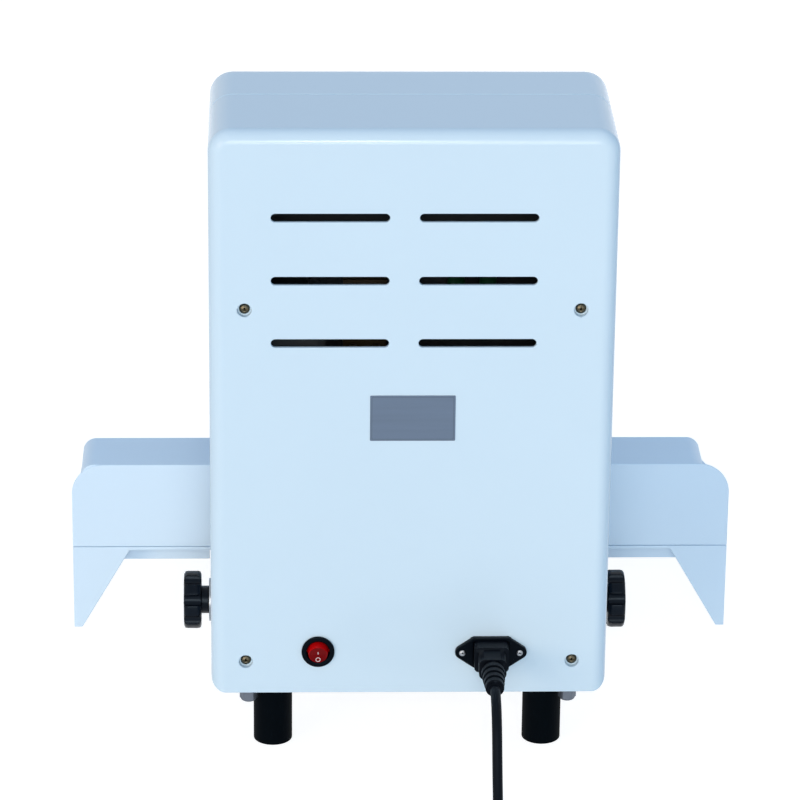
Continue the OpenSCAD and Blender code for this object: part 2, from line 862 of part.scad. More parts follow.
// Half the angle that a pinion tooth covers at radius r, from the involute of its base circle
function involute(r) =
  let (c = min(1, pinion_r * cos(pressure) / r))
  sqrt(1 / (c * c) - 1) * 180 / PI - acos(c);
function tooth_half(r) =
  (tooth_pitch / 2 - backlash) / 2 / pinion_r * 180 / PI + involute(pinion_r) - involute(r);

module pinion_outline() {
  tip = pinion_r + addendum;
  base = pinion_r * cos(pressure);
  root = pinion_r - dedendum;
  steps = 4;
  flank = [for (i = [0 : steps]) let (r = base + (tip - base) * i / steps) [r, tooth_half(r)]];
  polygon([for (k = [0 : gear_z - 1]) let (a = 360 * k / gear_z) each concat(
    [[root * cos(a - tooth_half(base)), root * sin(a - tooth_half(base))]],
    [for (f = flank) [f[0] * cos(a - f[1]), f[0] * sin(a - f[1])]],
    [for (i = [steps : -1 : 0]) let (f = flank[i]) [f[0] * cos(a + f[1]), f[0] * sin(a + f[1])]],
    [[root * cos(a + tooth_half(base)), root * sin(a + tooth_half(base))]]
  )]);
}

module feed_pinion() {
  shaft_back = 20;
  hub_in = 5;
  hub_l = 6;
  color("goldenrod") place() translate([pinion_x, 0, pinion_z]) {
    upright(pinion_y, pinion_y + pinion_w) pinion_outline();
    round_y(feed_shaft_d, column_y - shaft_back, pinion_y, 0, 0);
    round_y(2 * (pinion_r - hub_in), pinion_y - hub_l, pinion_y, 0, 0);
  }
}

module feed_rack() {
  first = -(rack_teeth - 1) / 2 * tooth_pitch;
  half_tip = (tooth_pitch / 2 - backlash) / 2 - addendum * tan(pressure);
  half_root = (tooth_pitch / 2 - backlash) / 2 + dedendum * tan(pressure);
  mid = pinion_z + tooth_pitch / 2 + feed / 2;
  shift = mid - pinion_z - tooth_pitch / 2;
  whole = round(shift / tooth_pitch) * tooth_pitch;
  end = rack_teeth / 2 * tooth_pitch;
  line = rack_line - dedendum;
  color("silver") place() translate([0, rib_rear, pinion_z + tooth_pitch / 2 + whole])
    upright(0, rack_w) union() {
      polygon(concat(
        [[-carriage_hw, -end], [-carriage_hw, end], [-line, end]],
        [for (k = [rack_teeth - 1 : -1 : 0]) let (z = first + k * tooth_pitch) each [
          [-line, z + half_root], [-rack_line - addendum, z + half_tip],
          [-rack_line - addendum, z - half_tip], [-line, z - half_root]]],
        [[-line, -end]]
      ));
    }
}

module limit_switches() {
  gap = 3;
  w = 10;
  deep = 20;
  tall = 28;
  lever_t = 2;
  lever_w = 4;
  lever_end = 5;
  x0 = carriage_hw + gap;
  lever_x = x0 + (w - lever_w) / 2;
  color("black") place() for (z = [carriage_z - feed / 2, carriage_top + lever_w]) {
    block([x0, column_front, z], [x0 + w, column_front + deep, z + tall]);
    block([lever_x, column_front + deep, z + lever_end],
          [lever_x + lever_w, column_front + deep + lever_t, z + tall - lever_end]);
  }
}

// Tray and board behind the column, seen through the vents
tray_x = 10;
tray_w = 84;
tray_drop = 154.5;
tray_z = case_top - tray_drop;
tray_lip = 24;
terminal_drop = 186.5;
tray_d = 62;
tray_t = 1.5;

module board_tray() {
  color("silver") place() {
    block([tray_x, column_y - tray_d, tray_z], [tray_x + tray_w, column_y, tray_z + tray_t]);
    block([tray_x, column_y - tray_t, tray_z - tray_lip], [tray_x + tray_w, column_y, tray_z]);
  }
}

module control_board() {
  board_t = 1.6;
  inset = 6;
  stand = 5;
  stand_d = 6;
  stand_in = inset + 4;
  relay = [16, 12, 15];
  relay_pitch = 22;
  relay_set = 22;
  can_d = 12;
  can_h = 20;
  can_set = 16;
  z = tray_z + tray_t;
  top = z + stand + board_t;
  color("darkgreen") place() {
    block([tray_x + inset, column_y - tray_d + inset, z + stand],
          [tray_x + tray_w - inset, column_y - inset, top]);
    for (x = [stand_in, tray_w - stand_in], y = [stand_in, tray_d - stand_in])
      round_z(stand_d, z, z + stand, tray_x + x, column_y - y);
    for (i = [0 : 2])
      translate([tray_x + can_set + relay_pitch * i, column_y - tray_d + relay_set, top]) cube(relay);
    for (i = [1, 2]) round_z(can_d, top, top + can_h, tray_x + relay_pitch * i, column_y - can_set);
  }
}

module terminal_block() {
  x0 = -46;
  z0 = case_top - terminal_drop;
  rows = 6;
  pitch = 9;
  screw_d = 6;
  sets = [7, 23];
  w = sets[0] + sets[1];
  deep = 14;
  head = 2;
  color("khaki") place() {
    block([x0, column_y - deep, z0], [x0 + w, column_y, z0 + rows * pitch + head]);
    for (i = [0 : rows - 1], set = sets)
      round_y(screw_d, column_y - deep - head, column_y - deep, x0 + set, z0 + screw_d + pitch * i);
  }
}

module button_bezel() {
  color("silver") place() difference() {
    union() {
      round_y(button_bezel_d, nose_d, nose_d + button_bezel_t, button_x, button_z);
      round_y(button_body_d, nose_d - 24, nose_d, button_x, button_z);
      round_y(button_body_d + 6, nose_d - wall - 4, nose_d - wall, button_x, button_z);
    }
    round_y(button_d + 2 * fit, nose_d - 16, nose_d + button_bezel_t + 1, button_x, button_z);
  }
}

module start_button() {
  crown = 1.5;
  color("forestgreen") place() translate([button_x, nose_d + button_out, button_z]) rotate([90, 0, 0])
    rotate_extrude() {
      translate([0, crown]) square([button_d / 2, button_out + 16 - crown - button_stroke - 1]);
      square([button_d / 2 - crown, crown]);
      translate([button_d / 2 - crown, crown]) circle(crown);
    }
}

module anvil() {
  color("slategray") place() difference() {
    round_z(anvil_d, base_top, anvil_top, 0, drill_y);
    round_z(pad_d + 2 * seat, base_top + pad_seat, anvil_top + 1, 0, drill_y);
    round_z(bolt_d + 2 * seat, base_top - 1, base_top + pad_seat + 1, 0, drill_y);
  }
}

module cutting_pad() {
  color("white") place() round_z(pad_d, base_top + pad_seat, table_z - pad_drop, 0, drill_y);
}

module table_plate() {
  half = table_w / 2;
  color("aliceblue") place() difference() {
    union() {
      translate([0, 0, table_z - table_t]) linear_extrude(table_t) {
        translate([-half, fence_y]) square([table_w, table_front - table_r - fence_y]);
        translate([-half + table_r, fence_y]) square([table_w - 2 * table_r, table_front - fence_y]);
        for (x = [-half + table_r, half - table_r]) translate([x, table_front - table_r]) circle(table_r);
      }
      upright(fence_y, fence_y + table_t) for (side = [-1, 1]) polygon([
        [side * half, table_z - table_t], [side * (half - leg_top_w), table_z - table_t],
        [side * (half - leg_low_w), leg_gap], [side * half, leg_gap]
      ]);
      block([-half + table_r, table_front - table_t, table_z - lip_h],
            [half - table_r, table_front, table_z - table_t]);
    }
    block([-table_hole_w / 2, drill_y - table_travel, table_z - table_t - 1],
          [table_hole_w / 2, drill_y + table_travel, table_z + 1]);
    for (y = [-1, 1])
      round_z(table_hole_w, table_z - table_t - 1, table_z + 1, 0, drill_y + y * table_travel);
    for (side = [-1, 1], y = [fence_y + screw_set, fence_front + screw_set])
      round_z(arm_screw_d + 2 * seat, table_z - table_t - 1, table_z + 1, side * (arm_x + arm_t / 2), y);
  }
}

// Plate between two ends, its two far corners round
module round_plate(ends, near, edge, r) {
  translate([ends[0], near]) square([ends[1] - ends[0], edge - r - near]);
  translate([ends[0] + r, near]) square([ends[1] - ends[0] - 2 * r, edge - near]);
  for (x = [ends[0] + r, ends[1] - r]) translate([x, edge - r]) circle(r);
}

module paper_fence() {
  end_in = 12;
  rear_in = 12;
  front_in = 8;
  plate_ends = [-table_w / 2, table_w / 2];
  box_ends = plate_ends + [fence_left_in, -fence_right_in];
  color("aliceblue") place() difference() {
    union() {
      upright(fence_y, fence_y + fence_t) round_plate(plate_ends, table_z, table_z + fence_h, fence_r);
      translate([0, 0, table_z]) linear_extrude(fence_h)
        round_plate(box_ends, fence_y, fence_front, fence_box_r);
    }
    translate([0, 0, table_z + fence_t]) linear_extrude(fence_h - 2 * fence_t)
      round_plate(box_ends + [fence_t, -fence_t], fence_y + fence_t, fence_front - fence_t,
                  fence_box_r - fence_t);
    block([box_ends[0] + end_in, fence_y + rear_in, table_z - 1],
          [box_ends[1] - end_in, fence_front - front_in, table_z + fence_t + 1]);
    for (side = [-1, 1])
      round_z(arm_screw_d + 2 * seat, table_z - 1, table_z + fence_t + 1,
              side * (arm_x + arm_t / 2), fence_y + screw_set);
  }
}

module table_ribs() {
  clear = 4;
  end_in = 16;
  rib_t = 2;
  rib_d = 18;
  inner = case_w / 2 + clear;
  outer = table_w / 2 - end_in;
  under = table_z - table_t;
  color("aliceblue") place() pair() {
    block([inner, fence_y + rib_set, under - rib_h], [outer, fence_y + rib_set + rib_t, under]);
    block([inner, fence_y + rib_set, under - rib_t], [outer, fence_y + rib_set + rib_d, under]);
  }
}

module slide_arms() {
  under = table_z - table_t;
  floor_z = base_top + arm_glide;
  color("silver") place() pair() difference() {
    sideways(arm_x, arm_x + arm_t) polygon([
      [arm_rear, floor_z], [arm_front, floor_z], [arm_front, under],
      [arm_step, under], [arm_step, arm_top], [arm_rear, arm_top]
    ]);
    round_x(stud_d + 2 * fit, arm_x - 1, arm_x + arm_t + 1, knob_y, knob_z);
    for (y = [fence_y + screw_set, fence_front + screw_set])
      round_z(arm_screw_d + 2 * seat, floor_z + 1, under + 1, arm_x + arm_t / 2, y);
  }
}

module arm_screws() {
  color("silver") place() for (side = [-1, 1], i = [0, 1]) {
    top = i == 0 ? table_z + fence_t : table_z;
    y = i == 0 ? fence_y + screw_set : fence_front + screw_set;
    round_z(arm_screw_d, base_top + arm_glide + 1.2, top, side * (arm_x + arm_t / 2), y);
    round_z(9, top, top + 1.4, side * (arm_x + arm_t / 2), y);
  }
}

module clamp_washers() {
  color("silver") place() pair() difference() {
    round_x(washer_d, case_w / 2 + 0.3, knob_x, knob_y, knob_z);
    round_x(stud_d + 2 * fit, case_w / 2 - 1, knob_x + 1, knob_y, knob_z);
  }
}

module clamp_knob() {
  crown = 3;
  flute_d = 9;
  outer = knob_x + neck_l + knob_t;
  difference() {
    translate([knob_x + fit, knob_y, knob_z]) rotate([0, 90, 0]) rotate_extrude() {
      square([neck_d / 2, neck_l + 1]);
      translate([0, neck_l + crown]) square([knob_d / 2, knob_t - 2 * crown]);
      translate([0, neck_l]) square([knob_d / 2 - crown, knob_t - fit]);
      for (z = [neck_l + crown, neck_l + knob_t - crown]) translate([knob_d / 2 - crown, z]) circle(crown);
    }
    for (k = [0 : knob_flutes - 1]) let (a = 360 * (k + 0.5) / knob_flutes)
      round_x(flute_d, knob_x + neck_l - 1, outer + 1,
              knob_y + (knob_d / 2 + 1.5) * cos(a), knob_z + (knob_d / 2 + 1.5) * sin(a));
    round_x(stud_d + 2 * seat, knob_x - 1, knob_x + neck_l + knob_t - 5, knob_y, knob_z);
  }
}

module clamp_stud() {
  round_x(stud_d, arm_x + 1, knob_x + neck_l + knob_t - 5, knob_y, knob_z);
}

module left_clamp_knob() {
  color("black") place() mirror([1, 0, 0]) clamp_knob();
}

module right_clamp_knob() {
  color("black") place() clamp_knob();
}

module left_clamp_stud() {
  color("silver") place() mirror([1, 0, 0]) clamp_stud();
}

module right_clamp_stud() {
  color("silver") place() clamp_stud();
}

module carriage() {
  rib_in = carriage_hw - rib_w;
  color("slategray") place() difference() {
    union() {
      block([-carriage_hw, carriage_rear, carriage_z], [carriage_hw, carriage_block_front, carriage_top]);
      block([-neck_hw, carriage_block_front - 1, carriage_z], [neck_hw, drill_y, carriage_top]);
      round_z(2 * boss_r, carriage_z, carriage_top, 0, drill_y);
      round_z(quill_d, quill_low, carriage_z + 1, 0, drill_y);
      block([-yoke_hw, drill_y - yoke_hd, quill_low], [yoke_hw, drill_y + yoke_hd, quill_low + yoke_t]);
      pair()
        block([rib_in, rib_rear, carriage_z], [carriage_hw, carriage_rear + 1, carriage_top]);
    }
    rod_bores(bush_d + 2 * seat, carriage_z - 1, carriage_top + 1);
    round_z(spindle_d + 6, quill_low - 1, carriage_top + 1, 0, drill_y);
    round_z(bearing_d + 2 * seat, quill_low - 1, quill_low + bearing_w, 0, drill_y);
    round_z(bearing_d + 2 * seat, carriage_top - bearing_w, carriage_top + 1, 0, drill_y);
    for (x = [-pin_x, pin_x]) round_z(pin_d + 2 * fit, quill_low - 1, quill_low + yoke_t + 1, x, drill_y);
  }
}

module rod_bushes() {
  color("goldenrod") place() for (x = [-rod_x, rod_x], z = [carriage_z, carriage_top - 20]) difference() {
    round_z(bush_d, z, z + 20, x, rod_y);
    round_z(rod_d + 2 * fit, z - 1, z + 21, x, rod_y);
  }
}

module spindle_bearings() {
  color("silver") place() for (z = [quill_low, carriage_top - bearing_w]) difference() {
    round_z(bearing_d, z, z + bearing_w, 0, drill_y);
    round_z(spindle_d + 2 * fit, z - 1, z + bearing_w + 1, 0, drill_y);
  }
}

module motor_plate() {
  color("slategray") place() difference() {
    union() {
      block([-carriage_hw, motor_y - motor_d / 2 - 2, plate_z],
            [carriage_hw, carriage_block_front, plate_z + plate_t]);
      pair()
        block([carriage_hw - leg_w, carriage_rear + 2, carriage_top],
              [carriage_hw, carriage_block_front - 2, plate_z + 1]);
    }
    rod_bores(rod_d + 4, plate_z - 1, plate_z + plate_t + 1);
    round_z(2 * motor_shaft_d, plate_z - 1, plate_z + plate_t + 1, 0, motor_y);
  }
}

module drill_motor() {
  z0 = plate_z + plate_t;
  color("silver") place() difference() {
    union() {
      round_z(motor_d, z0, z0 + motor_h - 6, 0, motor_y);
      round_z(motor_d - 16, z0 + motor_h - 6, z0 + motor_h, 0, motor_y);
    }
    round_z(motor_shaft_d + 2 * fit, z0 - 1, z0 + 26, 0, motor_y);
  }
}

module pulley(r, y, bore) {
  difference() {
    union() {
      round_z(2 * r, pulley_z, pulley_z + pulley_w, 0, y);
      for (z = [pulley_z, pulley_z + pulley_w - rim_t]) round_z(2 * (r + pulley_rim), z, z + rim_t, 0, y);
    }
    if (bore > 0) round_z(bore, pulley_z - 1, pulley_z + pulley_w + 1, 0, y);
  }
}

module motor_pulley() {
  color("silver") place() {
    pulley(motor_pulley_r, motor_y, 0);
    round_z(motor_shaft_d, pulley_z + pulley_w, plate_z + plate_t + 25, 0, motor_y);
  }
}

module spindle_pulley() {
  color("silver") place() pulley(pulley_r, drill_y, spindle_d - 3 + 2 * seat);
}

// Belt outline at a distance off both pulleys
module belt_outline(off) {
  hull() {
    translate([0, motor_y]) circle(motor_pulley_r + off, $fn = 48);
    translate([0, drill_y]) circle(pulley_r + off, $fn = 48);
  }
}

module drive_belt() {
  slack = 0.25;
  z0 = pulley_z + (pulley_w - belt_w) / 2;
  color("black") place() translate([0, 0, z0]) linear_extrude(belt_w) difference() {
    belt_outline(slack + belt_t);
    belt_outline(slack);
  }
}

module spindle() {
  color("silver") place() difference() {
    union() {
      round_z(spindle_d, collar_z, carriage_top + 1, 0, drill_y);
      round_z(spindle_d - 3, carriage_top, pulley_z + pulley_w + 2, 0, drill_y);
      round_z(collar_d, collar_z, quill_low - 0.5, 0, drill_y);
    }
    round_z(spindle_bore, collar_z - 1, pulley_z + pulley_w + 3, 0, drill_y);
    round_z(bit_shank_d + 2 * seat, collar_z - 1, collar_z + bit_shank, 0, drill_y);
  }
}

module drill_bit() {
  edge_h = 5;
  color("silver") place() translate([0, drill_y, 0]) difference() {
    rotate_extrude() polygon([
      [0, bit_tip], [bit_bore / 2 + 0.1, bit_tip], [bit_d / 2, bit_tip + edge_h], [bit_d / 2, collar_z - 3],
      [bit_shank_d / 2, collar_z], [bit_shank_d / 2, collar_z + bit_shank], [0, collar_z + bit_shank]
    ]);
    translate([0, 0, bit_tip - 1]) cylinder(d = bit_bore, h = collar_z + bit_shank - bit_tip + 2);
  }
}

module presser_foot() {
  color("silver") place() difference() {
    translate([0, drill_y, presser_z]) linear_extrude(presser_t) {
      square([2 * (presser_hw - presser_hd), 2 * presser_hd], center = true);
      for (x = [-1, 1]) translate([x * (presser_hw - presser_hd), 0]) circle(presser_hd);
    }
    round_z(bit_d + 3, presser_z - 1, presser_z + presser_t + 1, 0, drill_y);
    for (x = [-pin_x, pin_x]) round_z(pin_d + 2 * seat, presser_z - 1, presser_z + presser_t + 1, x, drill_y);
  }
}

module presser_pins() {
  head_z = quill_low + yoke_t;
  color("silver") place() for (x = [-pin_x, pin_x]) {
    round_z(pin_d, presser_z, head_z + fit, x, drill_y);
    round_z(pin_head_d, head_z + fit, head_z + fit + pin_head_t, x, drill_y);
  }
}

// Wire of one presser spring: a flat half curl at each end and an even rise between
spring_wire = 1.2;
spring_r = pin_d / 2 + spring_wire / 2 + 0.6;
spring_rings = 8;
spring_low = presser_z + presser_t + spring_wire / 2 + 0.1;
spring_high = quill_low - spring_wire / 2 - 0.1;

function spring_at(x, t) =
  let (rise = min(1, max(0, (t - 0.5) / (spring_curls - 1))))
  let (z = spring_low + (spring_high - spring_low) * rise)
  [x + spring_r * cos(360 * t), drill_y + spring_r * sin(360 * t), z];

echo(spring_self_gap = (spring_high - spring_low) / (spring_curls - 1) / 2 - spring_wire);

module presser_springs() {
  color("gray") place() for (x = [-pin_x, pin_x])
    swept_tube([for (i = [0 : spring_curls * spring_rings]) spring_at(x, i / spring_rings)],
               spring_wire / 2, 6, [0, 0, 1]);
}

// Oblong with round corners about the middle
module rounded_face(w, h, r) {
  square([w - 2 * r, h], center = true);
  square([w, h - 2 * r], center = true);
  for (x = [-1, 1], y = [-1, 1]) translate([x * (w / 2 - r), y * (h / 2 - r)]) circle(r);
}

module mains_connector() {
  body_hgt = nose_hgt + 2;
  body_r = 3;
  body_l = 15.5;
  shoulder_l = 31;
  shoulder_w = 19;
  shoulder_hgt = 15;
  shoulder_r = 4;
  neck_d = 13.5;
  neck_l = 5;
  ribs = 4;
  rib_d = 16.5;
  rib_step = 1.2;
  rib_pitch = 6.6;
  rib_l = 4.4;
  z = switch_z;
  color("black") place() translate([inlet_x, 0, z]) difference() {
    union() {
      block([-nose_w / 2, -inlet_flange_t - 1, -nose_hgt / 2], [nose_w / 2, nose_l - 1, nose_hgt / 2]);
      upright(-body_l, -inlet_flange_t - nose_play) rounded_face(nose_w, body_hgt, body_r);
      upright(-shoulder_l, -body_l) rounded_face(shoulder_w, shoulder_hgt, shoulder_r);
      round_y(neck_d, -shoulder_l - neck_l, -shoulder_l, 0, 0);
      round_y(cord_d + 2.5, -relief_end, -shoulder_l, 0, 0);
      for (i = [0 : ribs - 1]) let (y = -shoulder_l - neck_l - rib_pitch * i)
        round_y(rib_d - rib_step * i, y - rib_l, y, 0, 0);
    }
    for (c = contacts) block([c.x - contact_w / 2 - 0.1, nose_l - 15, c.y - contact_h / 2 - 0.1],
                             [c.x + contact_w / 2 + 0.1, nose_l + 1, c.y + contact_h / 2 + 0.1]);
  }
}

module cord_free() {
  color("black") place() swept_tube(cord_points, cord_d / 2, 8, [1, 0, 0]);
}

module cord_coil() {
  color("black") place() swept_tube(coil_path, cord_d / 2, 6, [0, 0, 1]);
}

// Flat strap round the turns at the left of the coil
module cord_tie() {
  strap_t = 1.2;
  strap_w = 8;
  room = cord_d / 2 + 0.6;
  inner = coil_r - coil_pitch * coil_turns / 2 - room;
  outer = coil_r + room;
  strap_low = 0.4;
  bottom = coil_center.z - room + 0.55;
  top = coil_center.z + coil_pitch + room;
  color("black") place() translate([coil_center.x, coil_center.y + strap_w / 2, 0]) rotate([90, 0, 0])
    linear_extrude(strap_w) difference() {
      translate([-outer - strap_t, bottom - strap_low])
        square([outer - inner + 2 * strap_t, top - bottom + strap_low + strap_t]);
      translate([-outer, bottom]) square([outer - inner, top - bottom]);
    }
}

plug_l = 34;
plug_w = 36;
plug_h = 22;
plug_y = coil_end.y - coil_tail;

module wall_plug() {
  neck = 12;
  grip = 12;
  color("black") place() translate([coil_end.x, plug_y, coil_end.z]) {
    hull() {
      round_y(grip, -neck, 0, 0, 0);
      block([-plug_w / 2, -neck - plug_l, -plug_h / 2], [plug_w / 2, -neck - 14, plug_h / 2]);
    }
  }
}

module plug_pins() {
  blade_w = 6.3;
  blade_t = 1.6;
  blade_l = 17;
  tip = plug_y - 12 - plug_l;
  color("silver") place() translate([coil_end.x, tip, coil_end.z]) {
    for (side = [-1, 1]) translate([side * 7.9, 0, 3]) rotate([0, side * 30, 0])
      block([-blade_t / 2, -blade_l, -blade_w / 2], [blade_t / 2, 0, blade_w / 2]);
    block([-blade_t / 2, -blade_l - 3, -6.5 - blade_w / 2], [blade_t / 2, 0, -6.5 + blade_w / 2]);
  }
}

base_plate();
rubber_feet();
foot_screws();
base_bolts();
column_plate();
cover_posts();
cover_brackets();
rear_cover();
front_cover();
cover_screws();
switch_body();
power_rocker();
inlet_socket();
inlet_pins();
inlet_screws();
upper_rod_bracket();
lower_rod_bracket();
guide_rods();
feed_motor();
feed_pinion();
limit_switches();
board_tray();
control_board();
terminal_block();
button_bezel();
start_button();
anvil();
cutting_pad();
table_plate();
paper_fence();
table_ribs();
slide_arms();
arm_screws();
clamp_washers();
left_clamp_knob();
right_clamp_knob();
left_clamp_stud();
right_clamp_stud();
carriage();
rod_bushes();
spindle_bearings();
feed_rack();
motor_plate();
drill_motor();
motor_pulley();
drive_belt();
spindle();
spindle_pulley();
drill_bit();
presser_foot();
presser_pins();
presser_springs();
mains_connector();
cord_free();
cord_coil();
cord_tie();
wall_plug();
plug_pins();
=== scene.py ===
"""Electric paper drill seen from behind: looks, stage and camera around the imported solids."""

import json
import math

import bmesh
import bpy
from bpy.props import FloatProperty, FloatVectorProperty, IntProperty, PointerProperty
from mathutils import Matrix, Vector
from mathutils.bvhtree import BVHTree


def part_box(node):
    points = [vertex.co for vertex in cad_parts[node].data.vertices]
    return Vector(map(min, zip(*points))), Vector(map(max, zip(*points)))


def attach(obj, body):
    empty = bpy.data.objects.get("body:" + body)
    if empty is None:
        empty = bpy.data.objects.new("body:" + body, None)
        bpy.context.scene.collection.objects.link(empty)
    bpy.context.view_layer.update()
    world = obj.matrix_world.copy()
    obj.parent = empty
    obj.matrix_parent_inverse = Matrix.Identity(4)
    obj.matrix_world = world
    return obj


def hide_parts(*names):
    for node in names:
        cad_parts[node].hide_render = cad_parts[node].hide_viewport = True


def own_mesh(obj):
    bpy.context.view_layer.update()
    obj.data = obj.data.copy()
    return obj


bl_info = {
    "name": "Paper drill",
    "version": (1, 0, 0),
    "blender": (4, 5, 0),
    "location": "3D View > Sidebar > Paper drill",
    "description": "Dresses the solids of an electric paper drill and sets up its stage",
    "category": "Object",
}

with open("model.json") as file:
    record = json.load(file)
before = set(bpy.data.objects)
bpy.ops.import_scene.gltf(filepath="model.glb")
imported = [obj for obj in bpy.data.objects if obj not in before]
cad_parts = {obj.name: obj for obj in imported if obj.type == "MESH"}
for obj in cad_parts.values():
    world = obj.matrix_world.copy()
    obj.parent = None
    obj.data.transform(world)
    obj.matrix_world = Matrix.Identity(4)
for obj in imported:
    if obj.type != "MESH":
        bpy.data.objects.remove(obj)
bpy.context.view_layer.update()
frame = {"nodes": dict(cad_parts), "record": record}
MM = 0.001
BODY_OF = {n: b for b, ns in frame["record"]["behaviour"]["bodies"].items() for n in ns}
REAR_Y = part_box("rear_cover")[0].y
FLOOR_Z = 0.0
# Corners of a square, in turn
SQUARE = ((-1, -1), (1, -1), (1, 1), (-1, 1))

# Copies of the solids: points closer than this are one, faces flatter than this are one,
# and edges this close to the seam are the seam's
MERGE = 0.003 * MM
FLAT_DEG = 0.6
ON_SEAM = 0.05 * MM
# Share of the covers' edge rounding away from their seam
SEAM_SHARE = 0.45
# Angle from which an edge is sharp
SHARP_DEG = 38
# Tint of the sheen on black pieces
COOL = (0.62, 0.8, 1.0, 1.0)
# Y of a normal where the rocker's painted shade begins, and where it is full
PAINTED_SHADE_FROM = -0.75
PAINTED_SHADE_FULL = -0.95

# The photograph's frame
IMAGE_PX = 800
FOCAL_PX = 4284
SENSOR_MM = 36
CAMERA_AT_MM = (-95.0, -2900.4, 1361.0)
PITCH_DEG = 22.011
YAW_DEG = 1.84
ROLL_DEG = -0.60

# The cord's way in millimetres, as the solids have it, measured from the rear face
CORD_X = 57.0
CORD_RUN = [
    (-62, 79), (-70, 79), (-83, 75.025), (-95, 64.975), (-104, 51.025), (-113, 37),
    (-123, 24.025), (-136, 13), (-150, 6.025), (-164, 4), (-171, 4),
]
# Points to a stretch of that way and to a turn of the coil, the room between turns, the share of a turn
# in which the coil climbs to its upper layer, and the straight end at the plug
CORD_STEPS = 4
COIL_RINGS = 24
COIL_SPACE = 0.7
COIL_CLIMB = 0.5
COIL_TAIL = 28.0

# Screw heads in millimetres, and the angle from which their edges are sharp
SCREW_SIZES = ("Head Radius", "Head Height", "Recess Length", "Recess Width", "Recess Depth")
COVER_SCREW = (3.75, 2.4, 4.8, 1.25, 3.6)
INLET_SCREW = (2.3, 1.2, 2.8, 0.8, 1.8)
SCREW_SHARP_DEG = 30

# Nuts under the base in millimetres: the dome's radius and height, the shank's radius and what the head
# gains in length, and then how many times wider than the solid it is
NUT_DOME_R = 5.6
NUT_DOME_H = 2.4
NUT_SHANK_R = 3
NUT_LONGER = 1.4
NUT_WIDER = 1.12

# The plate in millimetres: its middle on the rear cover, its thickness, corners and edge, and the width,
# inset and film of the line round it
PLATE_X = 0.65
PLATE_Z = 254.4
PLATE_THICK = 0.4
PLATE_CORNER = 0.8
PLATE_EDGE = 0.08
LINE_WIDE = 0.35
LINE_INSET = 1.1
LINE_FILM = 0.03
# Points to a round corner of the plate and of the fence
PLATE_STEPS = 6
FENCE_STEPS = 16
# Sheet of the fence's rear plate in millimetres
FENCE_SHEET = 2

# Wire of the presser's springs in millimetres, its turns, and the angle from which its edges are sharp
SPRING_WIRE = 0.6
SPRING_CURLS = 12.0
SPRING_SHARP_DEG = 60

# Marks on the rocker in millimetres: the bar's half sizes, the ring's radii, their heights and their film
BAR_HALF_W = 0.24
BAR_HALF_H = 1.1
BAR_LIFT = 0.3
RING_RADII = (1.3, 1.7)
RING_LIFT = -5.0
RING_SIDES = 28
MARK_FILM = 0.06
# Where the rays that find the rocker's surface start, behind the switch
MARK_BEHIND = 20

# The room as the surfaces see it
ROOM_LEVEL = 0.5
ROOM_TINT = "#c8e5ff"
# The floor in metres, its colour to the surfaces, and its colour and glow to the camera
FLOOR_REACH = 8.0
FLOOR_COLOUR = "#f6f6f6"
FLOOR_SHOWN = "#a4a4a4"
FLOOR_GLOW = 0.86
# What the lamps look at, in metres
AIM = Vector((0, -0.1, 0.24))
# Suns: place, width in degrees, strength, colour, and whether gloss shows them
SUNS = (
    ("key_light", (-0.1, -3.0, 0.9), 26, 1.12, "#fff9ef", True),
    ("side_light", (-2.2, -2.6, 0.95), 30, 1.05, "#ffe1c1", True),
    ("front_light", (0.9, 3.0, 0.35), 26, 1.4, "#ffffff", False),
    ("top_light", (0.0, -0.1, 3.0), 60, 0.34, "#8fc2ff", False),
)
# The flash near the camera: its place and side in metres, and its watts
FLASH_AT = (0.02, -3.3, 1.85)
FLASH_SIDE = 0.16
FLASH_WATTS = 8


def linear(hex_value):
    """Linear colour with alpha 1 of an sRGB hex value."""
    parts = [int(hex_value[i : i + 2], 16) / 255 for i in (1, 3, 5)]
    parts = [c / 12.92 if c <= 0.04045 else ((c + 0.055) / 1.055) ** 2.4 for c in parts]
    return (*parts, 1.0)


def add(tree, kind, inputs=None, **settings):
    """Adds a node with its settings, and sets or links its inputs."""
    made = tree.nodes.new(kind)
    for name, value in settings.items():
        setattr(made, name, value)
    for name, value in (inputs or {}).items():
        socket = made.inputs[name]
        if isinstance(value, bpy.types.NodeSocket):
            tree.links.new(value, socket)
        else:
            socket.default_value = value
    return made


